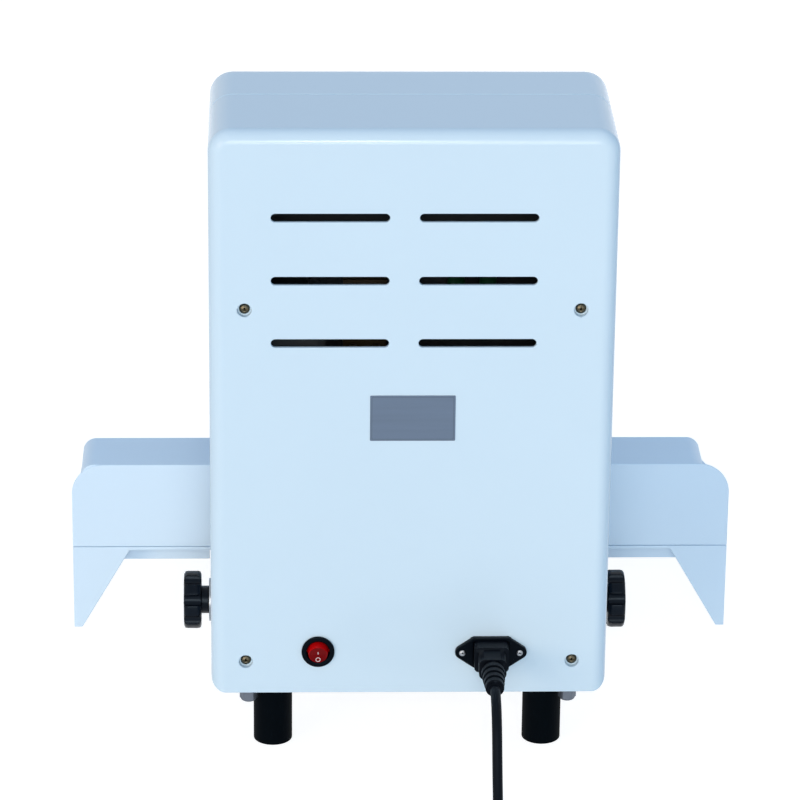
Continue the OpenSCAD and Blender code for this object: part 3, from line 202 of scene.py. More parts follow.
def surface(name, colour, rough, ior=None, shade=0.04, shade_mm=60.0, rough_by=0.05, grain_mm=1.0,
            grain_deep_mm=0.01, stretch=(1, 1, 1), **sockets):
    """Material with a cloudy shade, an uneven gloss and a fine relief, all sized in millimetres."""
    made = bpy.data.materials.new(name)
    made.use_nodes = True
    tree = made.node_tree
    tree.nodes.clear()
    out = add(tree, "ShaderNodeOutputMaterial")
    place = add(tree, "ShaderNodeTexCoord").outputs["Object"]
    spread = add(tree, "ShaderNodeMapping", {"Vector": place, "Scale": stretch}).outputs["Vector"]
    cloud = add(tree, "ShaderNodeTexNoise", {"Vector": spread, "Scale": 1 / (shade_mm * MM), "Detail": 4.0})
    grain = add(tree, "ShaderNodeTexNoise", {"Vector": spread, "Scale": 1 / (grain_mm * MM), "Detail": 2.0})
    full = linear(colour)
    dark = tuple(c * (1 - shade) for c in full[:3]) + (1.0,)
    light = tuple(min(1.0, c * (1 + shade)) for c in full[:3]) + (1.0,)
    tint = add(tree, "ShaderNodeMix", {0: cloud.outputs["Fac"], 6: dark, 7: light}, data_type="RGBA")
    gloss = add(tree, "ShaderNodeMapRange", {
        "Value": grain.outputs["Fac"], "To Min": max(0.02, rough - rough_by),
        "To Max": min(1.0, rough + rough_by)})
    relief = add(tree, "ShaderNodeBump", {
        "Height": grain.outputs["Fac"], "Distance": grain_deep_mm * MM, "Strength": 1.0})
    shader = add(tree, "ShaderNodeBsdfPrincipled", {
        "Base Color": tint.outputs[2], "Roughness": gloss.outputs["Result"],
        "Normal": relief.outputs["Normal"]})
    if ior is not None:
        shader.inputs["IOR"].default_value = ior
    for socket, value in sockets.items():
        shader.inputs[socket.replace("_", " ")].default_value = value
    tree.links.new(shader.outputs["BSDF"], out.inputs["Surface"])
    return made


def paint_rear_shade(made, colour):
    """Paints shade on a clear plastic: the faces that look to the rear get a darker colour than its rim."""
    tree = made.node_tree
    base = next(n for n in tree.nodes if n.type == "BSDF_PRINCIPLED").inputs["Base Color"]
    normal = add(tree, "ShaderNodeNewGeometry").outputs["Normal"]
    facing = add(tree, "ShaderNodeSeparateXYZ", {"Vector": normal})
    # Painted shade: a mask of the faces whose normal looks to the rear, which get the darker colour
    rear = add(tree, "ShaderNodeMapRange", {
        "Value": facing.outputs["Y"], "From Min": PAINTED_SHADE_FROM, "From Max": PAINTED_SHADE_FULL})
    tint = add(tree, "ShaderNodeMix", {
        0: rear.outputs["Result"], 6: base.links[0].from_socket, 7: linear(colour)}, data_type="RGBA")
    tree.links.new(tint.outputs[2], base)
    return made


def make_materials(colours):
    """Every finish of the machine, named for what the real one is made of.

    The numbers stand as surface() takes them: roughness, index of refraction, the shade's share and size,
    the gloss's spread, and the grain's size and depth.
    """
    return {
        # Moulded gloss plastic: an icy white with a soft highlight and a trace of orange peel
        "shell": surface("moulded_abs_ice_white", colours["shell"], 0.12, 1.5, 0.012, 90, 0.02, 3.0, 0.0025,
                         Specular_IOR_Level=0.2),
        # Powder coat on sheet steel: the same white, duller, with a fine pebble
        "paint": surface("powder_coated_sheet_steel", colours["paint"], 0.36, 1.5, 0.015, 70, 0.05, 0.9,
                         0.012, Specular_IOR_Level=0.25),
        # Painted steel plate under the housing: flat and a little greyer
        "base": surface("painted_steel_plate", "#c3d3e0", 0.5, 1.5, 0.03, 50, 0.06, 0.8, 0.015),
        # Moulded rubber of the feet: nearly black and dull
        "rubber": surface("moulded_black_rubber", "#020509", 0.62, 1.52, 0.15, 12, 0.08, 0.7, 0.02,
                          Specular_IOR_Level=0.03, Specular_Tint=COOL),
        # Phenolic of the clamp knobs: black with a broad sheen
        "phenolic": surface("moulded_black_phenolic", "#040811", 0.3, 1.55, 0.12, 15, 0.06, 1.2, 0.008,
                            Specular_IOR_Level=0.14, Specular_Tint=COOL),
        # Nylon of the switch and the inlet: black, half gloss
        "nylon": surface("moulded_black_nylon", "#02050b", 0.33, 1.53, 0.12, 10, 0.06, 0.8, 0.006,
                         Specular_IOR_Level=0.07, Specular_Tint=COOL),
        # Soft vinyl of the lead: black and dull
        "vinyl": surface("soft_black_vinyl", "#05080f", 0.48, 1.5, 0.12, 9, 0.06, 0.6, 0.01,
                         Specular_IOR_Level=0.11, Specular_Tint=COOL),
        # Clear red plastic of the rocker, with painted shade: the faces that look to the rear get a darker
        # red than its rim
        "red": paint_rear_shade(surface("clear_red_polycarbonate", "#b4070b", 0.22, 1.58, 0.10, 6, 0.03, 2.0, 0.003,
                              Specular_IOR_Level=0.05), "#6b0206"),
        # Green plastic of the start button
        "green": surface("moulded_green_abs", "#1f8a3c", 0.3, 1.53, 0.06, 12, 0.04, 1.5, 0.004),
        # White print on the switch
        "print": surface("white_pad_print", "#e6d3d3", 0.5, 1.5, 0.02, 3, 0.03, 0.4, 0.002),
        # Zinc plate: a cool grey metal with a patchy sheen
        "zinc": surface("zinc_plated_steel", "#9aa1a9", 0.38, None, 0.08, 5, 0.1, 0.5, 0.01, Metallic=1.0),
        # Zinc of the nuts under the base, darker than the other zinc
        "nut": surface("dull_zinc_plate", "#666d78", 0.42, None, 0.14, 4, 0.12, 0.5, 0.012, Metallic=1.0),
        # Yellow passivated zinc of the cover screws
        "yellow_zinc": surface("yellow_passivated_zinc", "#625e50", 0.36, None, 0.16, 3, 0.1, 0.5, 0.01,
                               Metallic=1.0),
        # Ground steel: bright, with lines round the turned pieces
        "steel": surface("ground_steel", "#c3c7cb", 0.24, None, 0.05, 8, 0.08, 0.4, 0.006, (1, 1, 6),
                         Metallic=1.0),
        # Painted iron castings of the feed: dark and rough, with the colour taken darker still as painted
        # shade for the parts seen through the vents
        "iron": surface("painted_iron_casting", "#353b42", 0.55, 1.5, 0.12, 18, 0.08, 1.4, 0.05),
        # Bronze of the bushes and the pinion
        "bronze": surface("turned_bronze", "#b98a45", 0.32, None, 0.08, 6, 0.08, 0.5, 0.008, Metallic=1.0),
        # Glass-fibre board with its green lacquer
        "board": surface("lacquered_glass_fibre", "#1d5a39", 0.4, 1.5, 0.1, 6, 0.05, 0.6, 0.006),
        # Tan phenolic of the terminal strip
        "tan": surface("moulded_tan_phenolic", "#54452a", 0.45, 1.55, 0.08, 8, 0.06, 0.8, 0.01),
        # Galvanised tray: pale metal with a spangle of crystals
        "galvanised": surface("galvanised_sheet", "#8a9197", 0.42, None, 0.14, 9, 0.12, 1.5, 0.01,
                              Metallic=1.0),
        # Nylon pad under the bit: milky white
        "pad": surface("white_nylon_pad", "#e6e4dc", 0.5, 1.53, 0.04, 10, 0.05, 0.8, 0.01),
        # Brushed foil plate: grey, drawn out along its length
        "foil": surface("brushed_aluminium_foil", colours["plate"], 0.46, 1.5, 0.10, 4, 0.1, 0.25, 0.003,
                        (0.05, 1, 1), Metallic=0.35),
        # Dark line printed round the plate
        "ink": surface("dark_grey_ink", "#4a5868", 0.5, 1.5, 0.05, 4, 0.04, 0.5, 0.002),
        # Ribbed belt of the drill motor: black and dull
        "belt": surface("ribbed_black_neoprene", "#111214", 0.6, 1.5, 0.1, 8, 0.06, 0.6, 0.01),
        # Nickel of the plug's blades
        "nickel": surface("nickel_plated_brass", "#c9c4b6", 0.25, None, 0.05, 6, 0.06, 0.5, 0.004,
                          Metallic=1.0),
    }


def link(obj):
    """Puts an object into the scene."""
    bpy.context.scene.collection.objects.link(obj)
    return obj


def settings():
    """The scene's sizes and colours."""
    return bpy.context.scene.paper_drill


# Materials by key, filled on first use
FINISHES = {}


def finish_of(key):
    """The material of that key."""
    if not FINISHES:
        s = settings()
        FINISHES.update(make_materials({
            "shell": to_hex(s.shell_colour), "paint": to_hex(s.paint_colour),
            "plate": to_hex(s.plate_colour)}))
    return FINISHES[key]


def to_hex(colour):
    """The hex value of a colour setting."""
    return "#" + "".join(f"{round(c * 255):02x}" for c in colour)


def from_hex(hex_value):
    """The colour setting of a hex value."""
    return tuple(int(hex_value[i : i + 2], 16) / 255 for i in (1, 3, 5))


def dress(node, key):
    """Gives a CAD node that stays in view its material."""
    obj = frame["nodes"][node]
    obj.data.materials.clear()
    obj.data.materials.append(finish_of(key))


def smooth(obj, sharp_deg):
    """Shades a piece smooth but for its sharp edges."""
    obj.data.shade_smooth()
    obj.data.set_sharp_from_angle(angle=math.radians(sharp_deg))


def even_normals(obj, edge_mm=0.0, sharp_deg=SHARP_DEG, segments=2):
    """Rounds the sharp edges of a piece a little and evens the shading of its flats."""
    smooth(obj, sharp_deg)
    if edge_mm > 0:
        bevel = obj.modifiers.new("edge", "BEVEL")
        bevel.width = edge_mm * MM
        bevel.segments = segments
        bevel.limit_method = "ANGLE"
        bevel.angle_limit = math.radians(sharp_deg)
        bevel.use_clamp_overlap = False
        bevel.miter_outer = "MITER_ARC"
    weights = obj.modifiers.new("flats", "WEIGHTED_NORMAL")
    weights.keep_sharp = True
    weights.weight = 100
    return obj


def piece(name, mesh, key, body):
    """A new object of one material that rides on a body."""
    mesh.materials.clear()
    mesh.materials.append(finish_of(key))
    obj = link(bpy.data.objects.new(name, mesh))
    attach(obj, body)
    return obj


def skin(node, key, edge_mm=0.3, name=None, sharp_deg=SHARP_DEG, segments=2, seam=None):
    """A merged copy of a CAD node with rounded edges, wider ones at a seam, which stands for it."""
    mesh = frame["nodes"][node].data.copy()
    work = bmesh.new()
    work.from_mesh(mesh)
    bmesh.ops.remove_doubles(work, verts=work.verts, dist=MERGE)
    bmesh.ops.dissolve_limit(work, angle_limit=math.radians(FLAT_DEG), verts=work.verts, edges=work.edges)
    if seam is not None:
        weight = work.edges.layers.float.new("bevel_weight_edge")
        for e in work.edges:
            if len(e.link_faces) == 2 and e.calc_face_angle() > math.radians(sharp_deg):
                on_seam = all(abs(v.co.y - seam) < ON_SEAM for v in e.verts)
                e[weight] = 1.0 if on_seam else SEAM_SHARE
    work.to_mesh(mesh)
    work.free()
    obj = piece(name or node + "_skin", mesh, key, BODY_OF[node])
    even_normals(obj, edge_mm, sharp_deg, segments)
    if seam is not None:
        obj.modifiers["edge"].limit_method = "WEIGHT"
    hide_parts(node)
    return obj


def new_tree(name, sizes):
    """A geometry tree with named sizes and a material: the tree, its inputs and its output node."""
    tree = bpy.data.node_groups.new(name, "GeometryNodeTree")
    sockets = [("Geometry", "Geometry"), *((label, "Float") for label in sizes), ("Material", "Material")]
    for label, kind in sockets:
        tree.interface.new_socket(label, in_out="INPUT", socket_type="NodeSocket" + kind)
    tree.interface.new_socket("Geometry", in_out="OUTPUT", socket_type="NodeSocketGeometry")
    return tree, add(tree, "NodeGroupInput").outputs, add(tree, "NodeGroupOutput")


def close_tree(tree, given, out, instance):
    """Ends a tree with one instance on each point, made real and given its material."""
    spread = add(tree, "GeometryNodeInstanceOnPoints", {"Points": given["Geometry"], "Instance": instance})
    real = add(tree, "GeometryNodeRealizeInstances", {"Geometry": spread.outputs["Instances"]})
    done = add(tree, "GeometryNodeSetMaterial", {
        "Geometry": real.outputs["Geometry"], "Material": given["Material"]})
    tree.links.new(done.outputs["Geometry"], out.inputs["Geometry"])
    return tree


def calc(tree, operation, first, second):
    """The result of a maths node."""
    return add(tree, "ShaderNodeMath", {0: first, 1: second}, operation=operation).outputs[0]


def vector(tree, **axes):
    """Numbers joined to a vector."""
    return add(tree, "ShaderNodeCombineXYZ", axes).outputs[0]


def moved(tree, geometry, **how):
    """Geometry that is shifted, turned or scaled."""
    return add(tree, "GeometryNodeTransform", {"Geometry": geometry, **how}).outputs["Geometry"]


def flat_ball(tree, radius, height, **how):
    """A ball flattened to that height."""
    ball = add(tree, "GeometryNodeMeshUVSphere", {"Segments": 32, "Rings": 16, "Radius": radius})
    squeeze = vector(tree, X=1.0, Y=1.0, Z=calc(tree, "DIVIDE", height, radius))
    return moved(tree, ball.outputs["Mesh"], Scale=squeeze, **how)


def grow(name, points, tree, values, key, body):
    """Runs a geometry tree on loose points and keeps the result as a plain mesh on a body."""
    seed = bpy.data.meshes.new(name)
    seed.from_pydata(points, [], [])
    obj = link(bpy.data.objects.new(name, seed))
    runner = obj.modifiers.new("grow", "NODES")
    runner.node_group = tree
    given = {**values, "Material": finish_of(key)}
    for item in tree.interface.items_tree:
        if item.in_out == "INPUT" and item.name in given:
            runner[item.identifier] = given[item.name]
    seen = bpy.context.evaluated_depsgraph_get()
    mesh = bpy.data.meshes.new_from_object(obj.evaluated_get(seen))
    obj.modifiers.clear()
    obj.data = mesh
    bpy.data.meshes.remove(seed)
    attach(obj, body)
    return obj


def screw_tree():
    """Domed screw heads with a cross recess, facing the rear, one on each point."""
    tree, given, out = new_tree("crosshead_screws", SCREW_SIZES)
    radius, height = given["Head Radius"], given["Head Height"]
    # A block takes away the ball's lower half, and two bars cut the cross
    wide = calc(tree, "MULTIPLY", radius, 3.0)
    block = add(tree, "GeometryNodeMeshCube", {"Size": vector(tree, X=wide, Y=wide, Z=height)})
    below = vector(tree, Z=calc(tree, "MULTIPLY", height, -0.5))
    tools = [moved(tree, block.outputs["Mesh"], Translation=below)]
    for along, across in ("XY", "YX"):
        size = vector(tree, **{along: given["Recess Length"], across: given["Recess Width"],
                               "Z": given["Recess Depth"]})
        bar = add(tree, "GeometryNodeMeshCube", {"Size": size})
        tools.append(moved(tree, bar.outputs["Mesh"], Translation=vector(tree, Z=height)))
    ball = flat_ball(tree, radius, height)
    head = add(tree, "GeometryNodeMeshBoolean", {0: ball}, operation="DIFFERENCE")
    for tool in tools:
        tree.links.new(tool, head.inputs[1])
    turned = moved(tree, head.outputs["Mesh"], Rotation=(math.radians(90), 0, 0))
    return close_tree(tree, given, out, turned)


def nut_tree():
    """Domed hexagon nuts that hang below their seats, with the bolt's shank above, one on each point."""
    tree, given, out = new_tree("domed_nuts", (
        "Head Radius", "Head Height", "Dome Radius", "Dome Height", "Shank Radius", "Shank Length"))
    under = vector(tree, Z=calc(tree, "MULTIPLY", given["Head Height"], -1.0))
    shapes = [flat_ball(tree, given["Dome Radius"], given["Dome Height"], Translation=under)]
    for sides, part, tall, way in ((6, "Head", "Head Height", -0.5), (24, "Shank", "Shank Length", 0.5)):
        body = add(tree, "GeometryNodeMeshCylinder", {
            "Vertices": sides, "Radius": given[part + " Radius"], "Depth": given[tall]})
        lift = vector(tree, Z=calc(tree, "MULTIPLY", given[tall], way))
        shapes.append(moved(tree, body.outputs["Mesh"], Translation=lift))
    parts = add(tree, "GeometryNodeJoinGeometry")
    for shape in shapes:
        tree.links.new(shape, parts.inputs["Geometry"])
    return close_tree(tree, given, out, parts.outputs["Geometry"])


def spring_tree():
    """Helical wire standing on each point."""
    tree, given, out = new_tree("wire_springs", ("Coil Radius", "Wire Radius", "Height", "Curls"))
    helix = add(tree, "GeometryNodeCurveSpiral", {
        "Resolution": 40, "Rotations": given["Curls"], "Start Radius": given["Coil Radius"],
        "End Radius": given["Coil Radius"], "Height": given["Height"]})
    section = add(tree, "GeometryNodeCurvePrimitiveCircle", {
        "Resolution": 12, "Radius": given["Wire Radius"]})
    wire = add(tree, "GeometryNodeCurveToMesh", {
        "Curve": helix.outputs["Curve"], "Profile Curve": section.outputs["Curve"], "Fill Caps": True})
    return close_tree(tree, given, out, wire.outputs["Mesh"])


def solid_boxes(node):
    """The box of each separate solid of a CAD node, as pairs of corners."""
    work = bmesh.new()
    work.from_mesh(frame["nodes"][node].data)
    bmesh.ops.remove_doubles(work, verts=work.verts, dist=MERGE)
    seen, boxes = set(), []
    for start in work.verts:
        if start in seen:
            continue
        group, todo = [], [start]
        seen.add(start)
        while todo:
            v = todo.pop()
            group.append(v.co.copy())
            for e in v.link_edges:
                w = e.other_vert(v)
                if w not in seen:
                    seen.add(w)
                    todo.append(w)
        boxes.append((Vector([min(p[i] for p in group) for i in range(3)]),
                      Vector([max(p[i] for p in group) for i in range(3)])))
    work.free()
    return boxes


def smooth_run(points, steps):
    """Points along a smooth line through the given ones."""
    made = []
    for i in range(len(points) - 1):
        p0, p1 = points[max(i - 1, 0)], points[i]
        p2, p3 = points[i + 1], points[min(i + 2, len(points) - 1)]
        for k in range(steps):
            t = k / steps
            made.append(0.5 * ((2 * p1) + (p2 - p0) * t + (2 * p0 - 5 * p1 + 4 * p2 - p3) * t * t
                               + (3 * p1 - p0 - 3 * p2 + p3) * t * t * t))
    made.append(points[-1])
    return made


def cord_path(s):
    """The lead's centreline in metres: out of its relief, down, and round the coil to its plug."""
    run = [Vector((CORD_X, REAR_Y / MM + y, z)) for y, z in CORD_RUN]
    start = run[-1]
    radius, turns = s.coil_radius / MM, s.coil_turns
    pitch = s.cord_diameter / MM + COIL_SPACE
    centre = start + Vector((-radius, -s.cord_diameter / MM, 0))
    half = turns / 2
    coil = []
    for i in range(turns * COIL_RINGS + 1):
        t = i / COIL_RINGS
        r = radius - pitch * (t if t < half else turns - t)
        climb = min(1.0, max(0.0, (t - half + COIL_CLIMB / 2) / COIL_CLIMB))
        a = -2 * math.pi * t
        coil.append(centre + Vector((r * math.cos(a), r * math.sin(a), pitch * climb)))
    end = coil[-1]
    tail = [end - Vector((0, COIL_TAIL * k / CORD_STEPS, 0)) for k in range(1, CORD_STEPS + 1)]
    return [p * MM for p in smooth_run(run, CORD_STEPS) + coil + tail]


def arc(x, z, r, first_deg, last_deg, steps):
    """Points on a circle from one angle to another."""
    turn = [math.radians(first_deg + (last_deg - first_deg) * k / steps) for k in range(steps + 1)]
    return [(x + r * math.cos(a), z + r * math.sin(a)) for a in turn]


def rounded_outline(x, z, half_w, half_h, r, steps):
    """A rectangle with round corners, as points in X and Z."""
    points = []
    for cx, cz, first in ((1, 1, 0), (-1, 1, 90), (-1, -1, 180), (1, -1, 270)):
        points += arc(x + cx * (half_w - r), z + cz * (half_h - r), r, first, first + 90, steps)
    return points


def prism(name, slabs):
    """A mesh of slabs, each an outline in X and Z drawn out between two places in Y."""
    mesh = bpy.data.meshes.new(name)
    work = bmesh.new()
    for outline, near, far in slabs:
        face = work.faces.new([work.verts.new((x, near, z)) for x, z in outline])
        grown = bmesh.ops.extrude_face_region(work, geom=[face], use_keep_orig=True)
        shifted = [v for v in grown["geom"] if isinstance(v, bmesh.types.BMVert)]
        bmesh.ops.translate(work, verts=shifted, vec=(0, far - near, 0))
    bmesh.ops.recalc_face_normals(work, faces=work.faces)
    work.to_mesh(mesh)
    work.free()
    return mesh


def band(count):
    """The quads between two closed rows of points of that count."""
    return [(k, (k + 1) % count, count + (k + 1) % count, count + k) for k in range(count)]


def screw_heads(name, node, sizes, tree, key):
    """Crosshead screws that stand for a CAD node, each at its solid's rear end."""
    values = {label: size * MM for label, size in zip(SCREW_SIZES, sizes)}
    tall = values["Head Height"]
    seats = [((lo.x + hi.x) / 2, lo.y + tall, (lo.z + hi.z) / 2) for lo, hi in solid_boxes(node)]
    screws = grow(name, seats, tree, values, key, "frame")
    even_normals(screws, sharp_deg=SCREW_SHARP_DEG)
    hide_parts(node)


class PaperDrillSettings(bpy.types.PropertyGroup):
    """Sizes and colours of the dressed machine."""

    shell_colour: FloatVectorProperty(
        name="Shell", description="Colour of the moulded covers", subtype="COLOR_GAMMA", size=3,
        min=0, max=1, default=from_hex("#cae0ef"))
    paint_colour: FloatVectorProperty(
        name="Table paint", description="Colour of the table and its fence", subtype="COLOR_GAMMA", size=3,
        min=0, max=1, default=from_hex("#cfe4f5"))
    fence_radius: FloatProperty(
        name="Fence corner", description="Radius of the rear plate's corners", unit="LENGTH",
        default=23 * MM)
    fence_left_in: FloatProperty(
        name="Fence left", description="Inset of the fence's box at the left", unit="LENGTH",
        default=6.8 * MM)
    fence_right_in: FloatProperty(
        name="Fence right", description="Inset of the fence's box at the right", unit="LENGTH",
        default=18 * MM)
    fence_slit: FloatProperty(
        name="Fence slit", description="Slit under the rear plate", unit="LENGTH", default=0.5 * MM)
    fence_edge: FloatProperty(
        name="Fence edge", description="Rounding of the box's end edges", unit="LENGTH", default=10 * MM)
    plate_colour: FloatVectorProperty(
        name="Plate", description="Colour of the bare plate", subtype="COLOR_GAMMA", size=3,
        min=0, max=1, default=from_hex("#5f7086"))
    plate_width: FloatProperty(
        name="Plate width", description="Width of the bare plate", unit="LENGTH", default=58.3 * MM)
    plate_height: FloatProperty(
        name="Plate height", description="Height of the bare plate", unit="LENGTH", default=33.3 * MM)
    cord_diameter: FloatProperty(
        name="Cord", description="Diameter of the mains cord", unit="LENGTH", default=7 * MM)
    coil_radius: FloatProperty(
        name="Coil", description="Radius of the coil's outer turn", unit="LENGTH", default=51 * MM)
    coil_turns: IntProperty(name="Turns", description="Turns of the coil", default=5)
    shell_edge: FloatProperty(
        name="Shell edge", description="Rounding of the covers' edges at their seam", unit="LENGTH",
        default=1.0 * MM)
    shell_depth: FloatProperty(
        name="Rear shell", description="Depth of the rear cover up to the seam", unit="LENGTH",
        default=82 * MM)


class PAPERDRILL_OT_camera(bpy.types.Operator):
    """Sets the camera where the photograph was taken"""

    bl_idname = "paper_drill.camera"
    bl_label = "Camera"

    def execute(self, context):
        pitch, yaw, roll = (math.radians(a) for a in (PITCH_DEG, YAW_DEG, ROLL_DEG))
        ahead = Vector((math.sin(yaw) * math.cos(pitch), math.cos(yaw) * math.cos(pitch), -math.sin(pitch)))
        right = Vector((math.cos(yaw), -math.sin(yaw), 0))
        down = ahead.cross(right)
        x = math.cos(roll) * right + math.sin(roll) * down
        y = math.sin(roll) * right - math.cos(roll) * down
        data = bpy.data.cameras.new("photo_camera")
        data.sensor_width = SENSOR_MM
        data.lens = SENSOR_MM * FOCAL_PX / IMAGE_PX
        data.clip_end = 50
        camera = link(bpy.data.objects.new("photo_camera", data))
        turn = Matrix((x, y, -ahead)).transposed().to_4x4()
        camera.matrix_world = Matrix.Translation(Vector(CAMERA_AT_MM) * MM) @ turn
        context.scene.camera = camera
        return {"FINISHED"}


class PAPERDRILL_OT_cord(bpy.types.Operator):
    """Lays the mains lead from its connector to the coil and the plug"""

    bl_idname = "paper_drill.cord"
    bl_label = "Cord"

    def execute(self, context):
        s = settings()
        path = cord_path(s)
        line = bpy.data.curves.new("mains_cord", "CURVE")
        line.dimensions = "3D"
        line.bevel_depth = s.cord_diameter / 2
        line.bevel_resolution = 5
        line.use_fill_caps = True
        spline = line.splines.new("POLY")
        spline.points.add(len(path) - 1)
        for point, p in zip(spline.points, path):
            point.co = (*p, 1)
        line.materials.append(finish_of("vinyl"))
        cord = link(bpy.data.objects.new("mains_cord", line))
        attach(cord, "frame")
        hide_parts("cord_free", "cord_coil")
        plug = skin("wall_plug", "vinyl", 1.4, "mains_plug", segments=3)
        blades = skin("plug_pins", "nickel", 0.3, "plug_blades")
        tie = skin("cord_tie", "vinyl", 0.3, "cord_strap")
        return {"FINISHED"}


class PAPERDRILL_OT_covers(bpy.types.Operator):
    """Dresses the two moulded covers and their screws"""

    bl_idname = "paper_drill.covers"
    bl_label = "Covers"

    def execute(self, context):
        edge = settings().shell_edge / MM
        seam = REAR_Y + settings().shell_depth
        skin("rear_cover", "shell", edge, "rear_shell", seam=seam)
        skin("front_cover", "shell", edge, "front_shell", seam=seam)
        screw_heads("cover_screw_heads", "cover_screws", COVER_SCREW, screw_tree(), "yellow_zinc")
        dress("cover_posts", "zinc")
        dress("cover_brackets", "zinc")
        return {"FINISHED"}


class PAPERDRILL_OT_plate(bpy.types.Operator):
    """Puts the bare plate on the rear cover"""

    bl_idname = "paper_drill.plate"
    bl_label = "Plate"

    def execute(self, context):
        s = settings()
        face = REAR_Y - PLATE_THICK * MM
        mesh = prism("bare_plate", [(self.outline(s, 0.0), face, REAR_Y)])
        even_normals(piece("bare_plate", mesh, "foil", "frame"), PLATE_EDGE)
        outer = self.outline(s, LINE_INSET * MM)
        inner = self.outline(s, (LINE_INSET + LINE_WIDE) * MM)
        border = bpy.data.meshes.new("plate_border")
        border.from_pydata([(x, face - LINE_FILM * MM, z) for x, z in outer + inner], [], band(len(outer)))
        piece("plate_border", border, "ink", "frame")
        return {"FINISHED"}

    def outline(self, s, inset):
        """The plate's outline, or one that lies inside it."""
        half_w, half_h = s.plate_width / 2 - inset, s.plate_height / 2 - inset
        return rounded_outline(PLATE_X * MM, PLATE_Z * MM, half_w, half_h, PLATE_CORNER * MM, PLATE_STEPS)


class PAPERDRILL_OT_rear_fittings(bpy.types.Operator):
    """Dresses the switch, the inlet and its connector"""

    bl_idname = "paper_drill.rear_fittings"
    bl_label = "Rear fittings"

    def execute(self, context):
        skin("switch_body", "nylon", 0.6, "switch_bezel", segments=3)
        rocker = skin("power_rocker", "red", 0.5, "switch_rocker", segments=3)
        self.print_marks(rocker)
        skin("inlet_socket", "nylon", 0.5, "inlet_flange", segments=3)
        skin("mains_connector", "vinyl", 0.0, "inlet_connector")
        dress("inlet_pins", "nickel")
        screws = bpy.data.node_groups["crosshead_screws"]
        screw_heads("inlet_screw_heads", "inlet_screws", INLET_SCREW, screws, "zinc")
        return {"FINISHED"}

    def print_marks(self, rocker):
        """The bar and the ring of the switch, laid on the rocker's own surface."""
        lo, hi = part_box("switch_body")
        middle = (lo + hi) / 2
        hits = BVHTree.FromPolygons([v.co.copy() for v in rocker.data.vertices],
                                    [tuple(p.vertices) for p in rocker.data.polygons])
        bar = [(x * BAR_HALF_W, z * BAR_HALF_H) for x, z in SQUARE]
        ring = [p for r in RING_RADII for p in arc(0, 0, r, 0, 360, RING_SIDES)[:-1]]
        marks = [("switch_mark_on", bar, [(0, 1, 2, 3)], BAR_LIFT),
                 ("switch_mark_off", ring, band(RING_SIDES), RING_LIFT)]
        for name, points, faces, lift in marks:
            placed = []
            for x, z in points:
                start = Vector((middle.x + x * MM, lo.y - MARK_BEHIND * MM, middle.z + (z + lift) * MM))
                hit = hits.ray_cast(start, Vector((0, 1, 0)))
                if hit[0] is None:
                    raise RuntimeError("a switch mark misses the rocker")
                placed.append(hit[0] + Vector((0, -MARK_FILM * MM, 0)))
            mesh = bpy.data.meshes.new(name)
            mesh.from_pydata(placed, [], faces)
            mark = piece(name, mesh, "print", "rocker")
            if mark.data.polygons[0].normal.y > 0:
                mark.data.flip_normals()


class PAPERDRILL_OT_base(bpy.types.Operator):
    """Dresses the base plate, the feet and the bolts"""

    bl_idname = "paper_drill.base"
    bl_label = "Base"

    def execute(self, context):
        skin("base_plate", "base", 0.6, "base_slab")
        skin("rubber_feet", "rubber", 0.8, "feet", segments=3)
        skin("foot_screws", "zinc", 0.2, "foot_screw_heads")
        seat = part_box("base_plate")[0].z
        bolts = solid_boxes("base_bolts")
        lo, hi = bolts[0]
        middles = [((a.x + b.x) / 2, (a.y + b.y) / 2, seat) for a, b in bolts]
        nuts = grow("base_nuts", middles, nut_tree(), {
            "Head Radius": NUT_WIDER * (hi.x - lo.x) / 2,
            "Head Height": seat - lo.z + (NUT_LONGER - NUT_DOME_H) * MM,
            "Dome Radius": NUT_DOME_R * MM, "Dome Height": NUT_DOME_H * MM,
            "Shank Radius": NUT_SHANK_R * MM, "Shank Length": hi.z - seat}, "nut", "frame")
        even_normals(nuts, 0.4)
        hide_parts("base_bolts")
        dress("column_plate", "iron")
        return {"FINISHED"}


class PAPERDRILL_OT_table(bpy.types.Operator):
    """Dresses the sliding table, its fence and its arms"""

    bl_idname = "paper_drill.table"
    bl_label = "Table"

    def execute(self, context):
        skin("table_plate", "paint", 0.5, "table_top")
        self.fence()
        skin("table_ribs", "paint", 0.4, "table_rib")
        skin("slide_arms", "steel", 0.4, "slide_bars")
        skin("arm_screws", "zinc", 0.3, "arm_screw_heads")
        skin("anvil", "iron", 0.5, "anvil_cup")
        skin("cutting_pad", "pad", 0.3, "cutting_disc")
        return {"FINISHED"}

    def fence(self):
        """The fence's rear plate with the long round-edged box behind it."""
        s = settings()
        lo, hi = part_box("paper_fence")
        sheet = FENCE_SHEET * MM
        plate = self.arch(lo.x, hi.x, lo.z + s.fence_slit, hi.z, s.fence_radius)
        box = self.arch(lo.x + s.fence_left_in, hi.x - s.fence_right_in, lo.z, hi.z, s.fence_edge)
        mesh = prism("fence", [(plate, lo.y, lo.y + sheet), (box, lo.y + sheet / 2, hi.y)])
        fence = piece("fence", mesh, "paint", BODY_OF["paper_fence"])
        even_normals(fence, 0.7, segments=3)
        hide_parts("paper_fence")

    def arch(self, left, right, low, top, r):
        """An outline with two round corners at its top."""
        up = [(left, low)] + arc(left + r, top - r, r, 180, 90, FENCE_STEPS)
        return up + arc(right - r, top - r, r, 90, 0, FENCE_STEPS) + [(right, low)]


class PAPERDRILL_OT_knobs(bpy.types.Operator):
    """Dresses the two clamp knobs, their washers and studs"""

    bl_idname = "paper_drill.knobs"
    bl_label = "Clamp knobs"

    def execute(self, context):
        for side in ("left", "right"):
            skin(side + "_clamp_knob", "phenolic", 0.5, side + "_knob_grip", segments=3)
            dress(side + "_clamp_stud", "zinc")
        skin("clamp_washers", "zinc", 0.3, "washers")
        return {"FINISHED"}


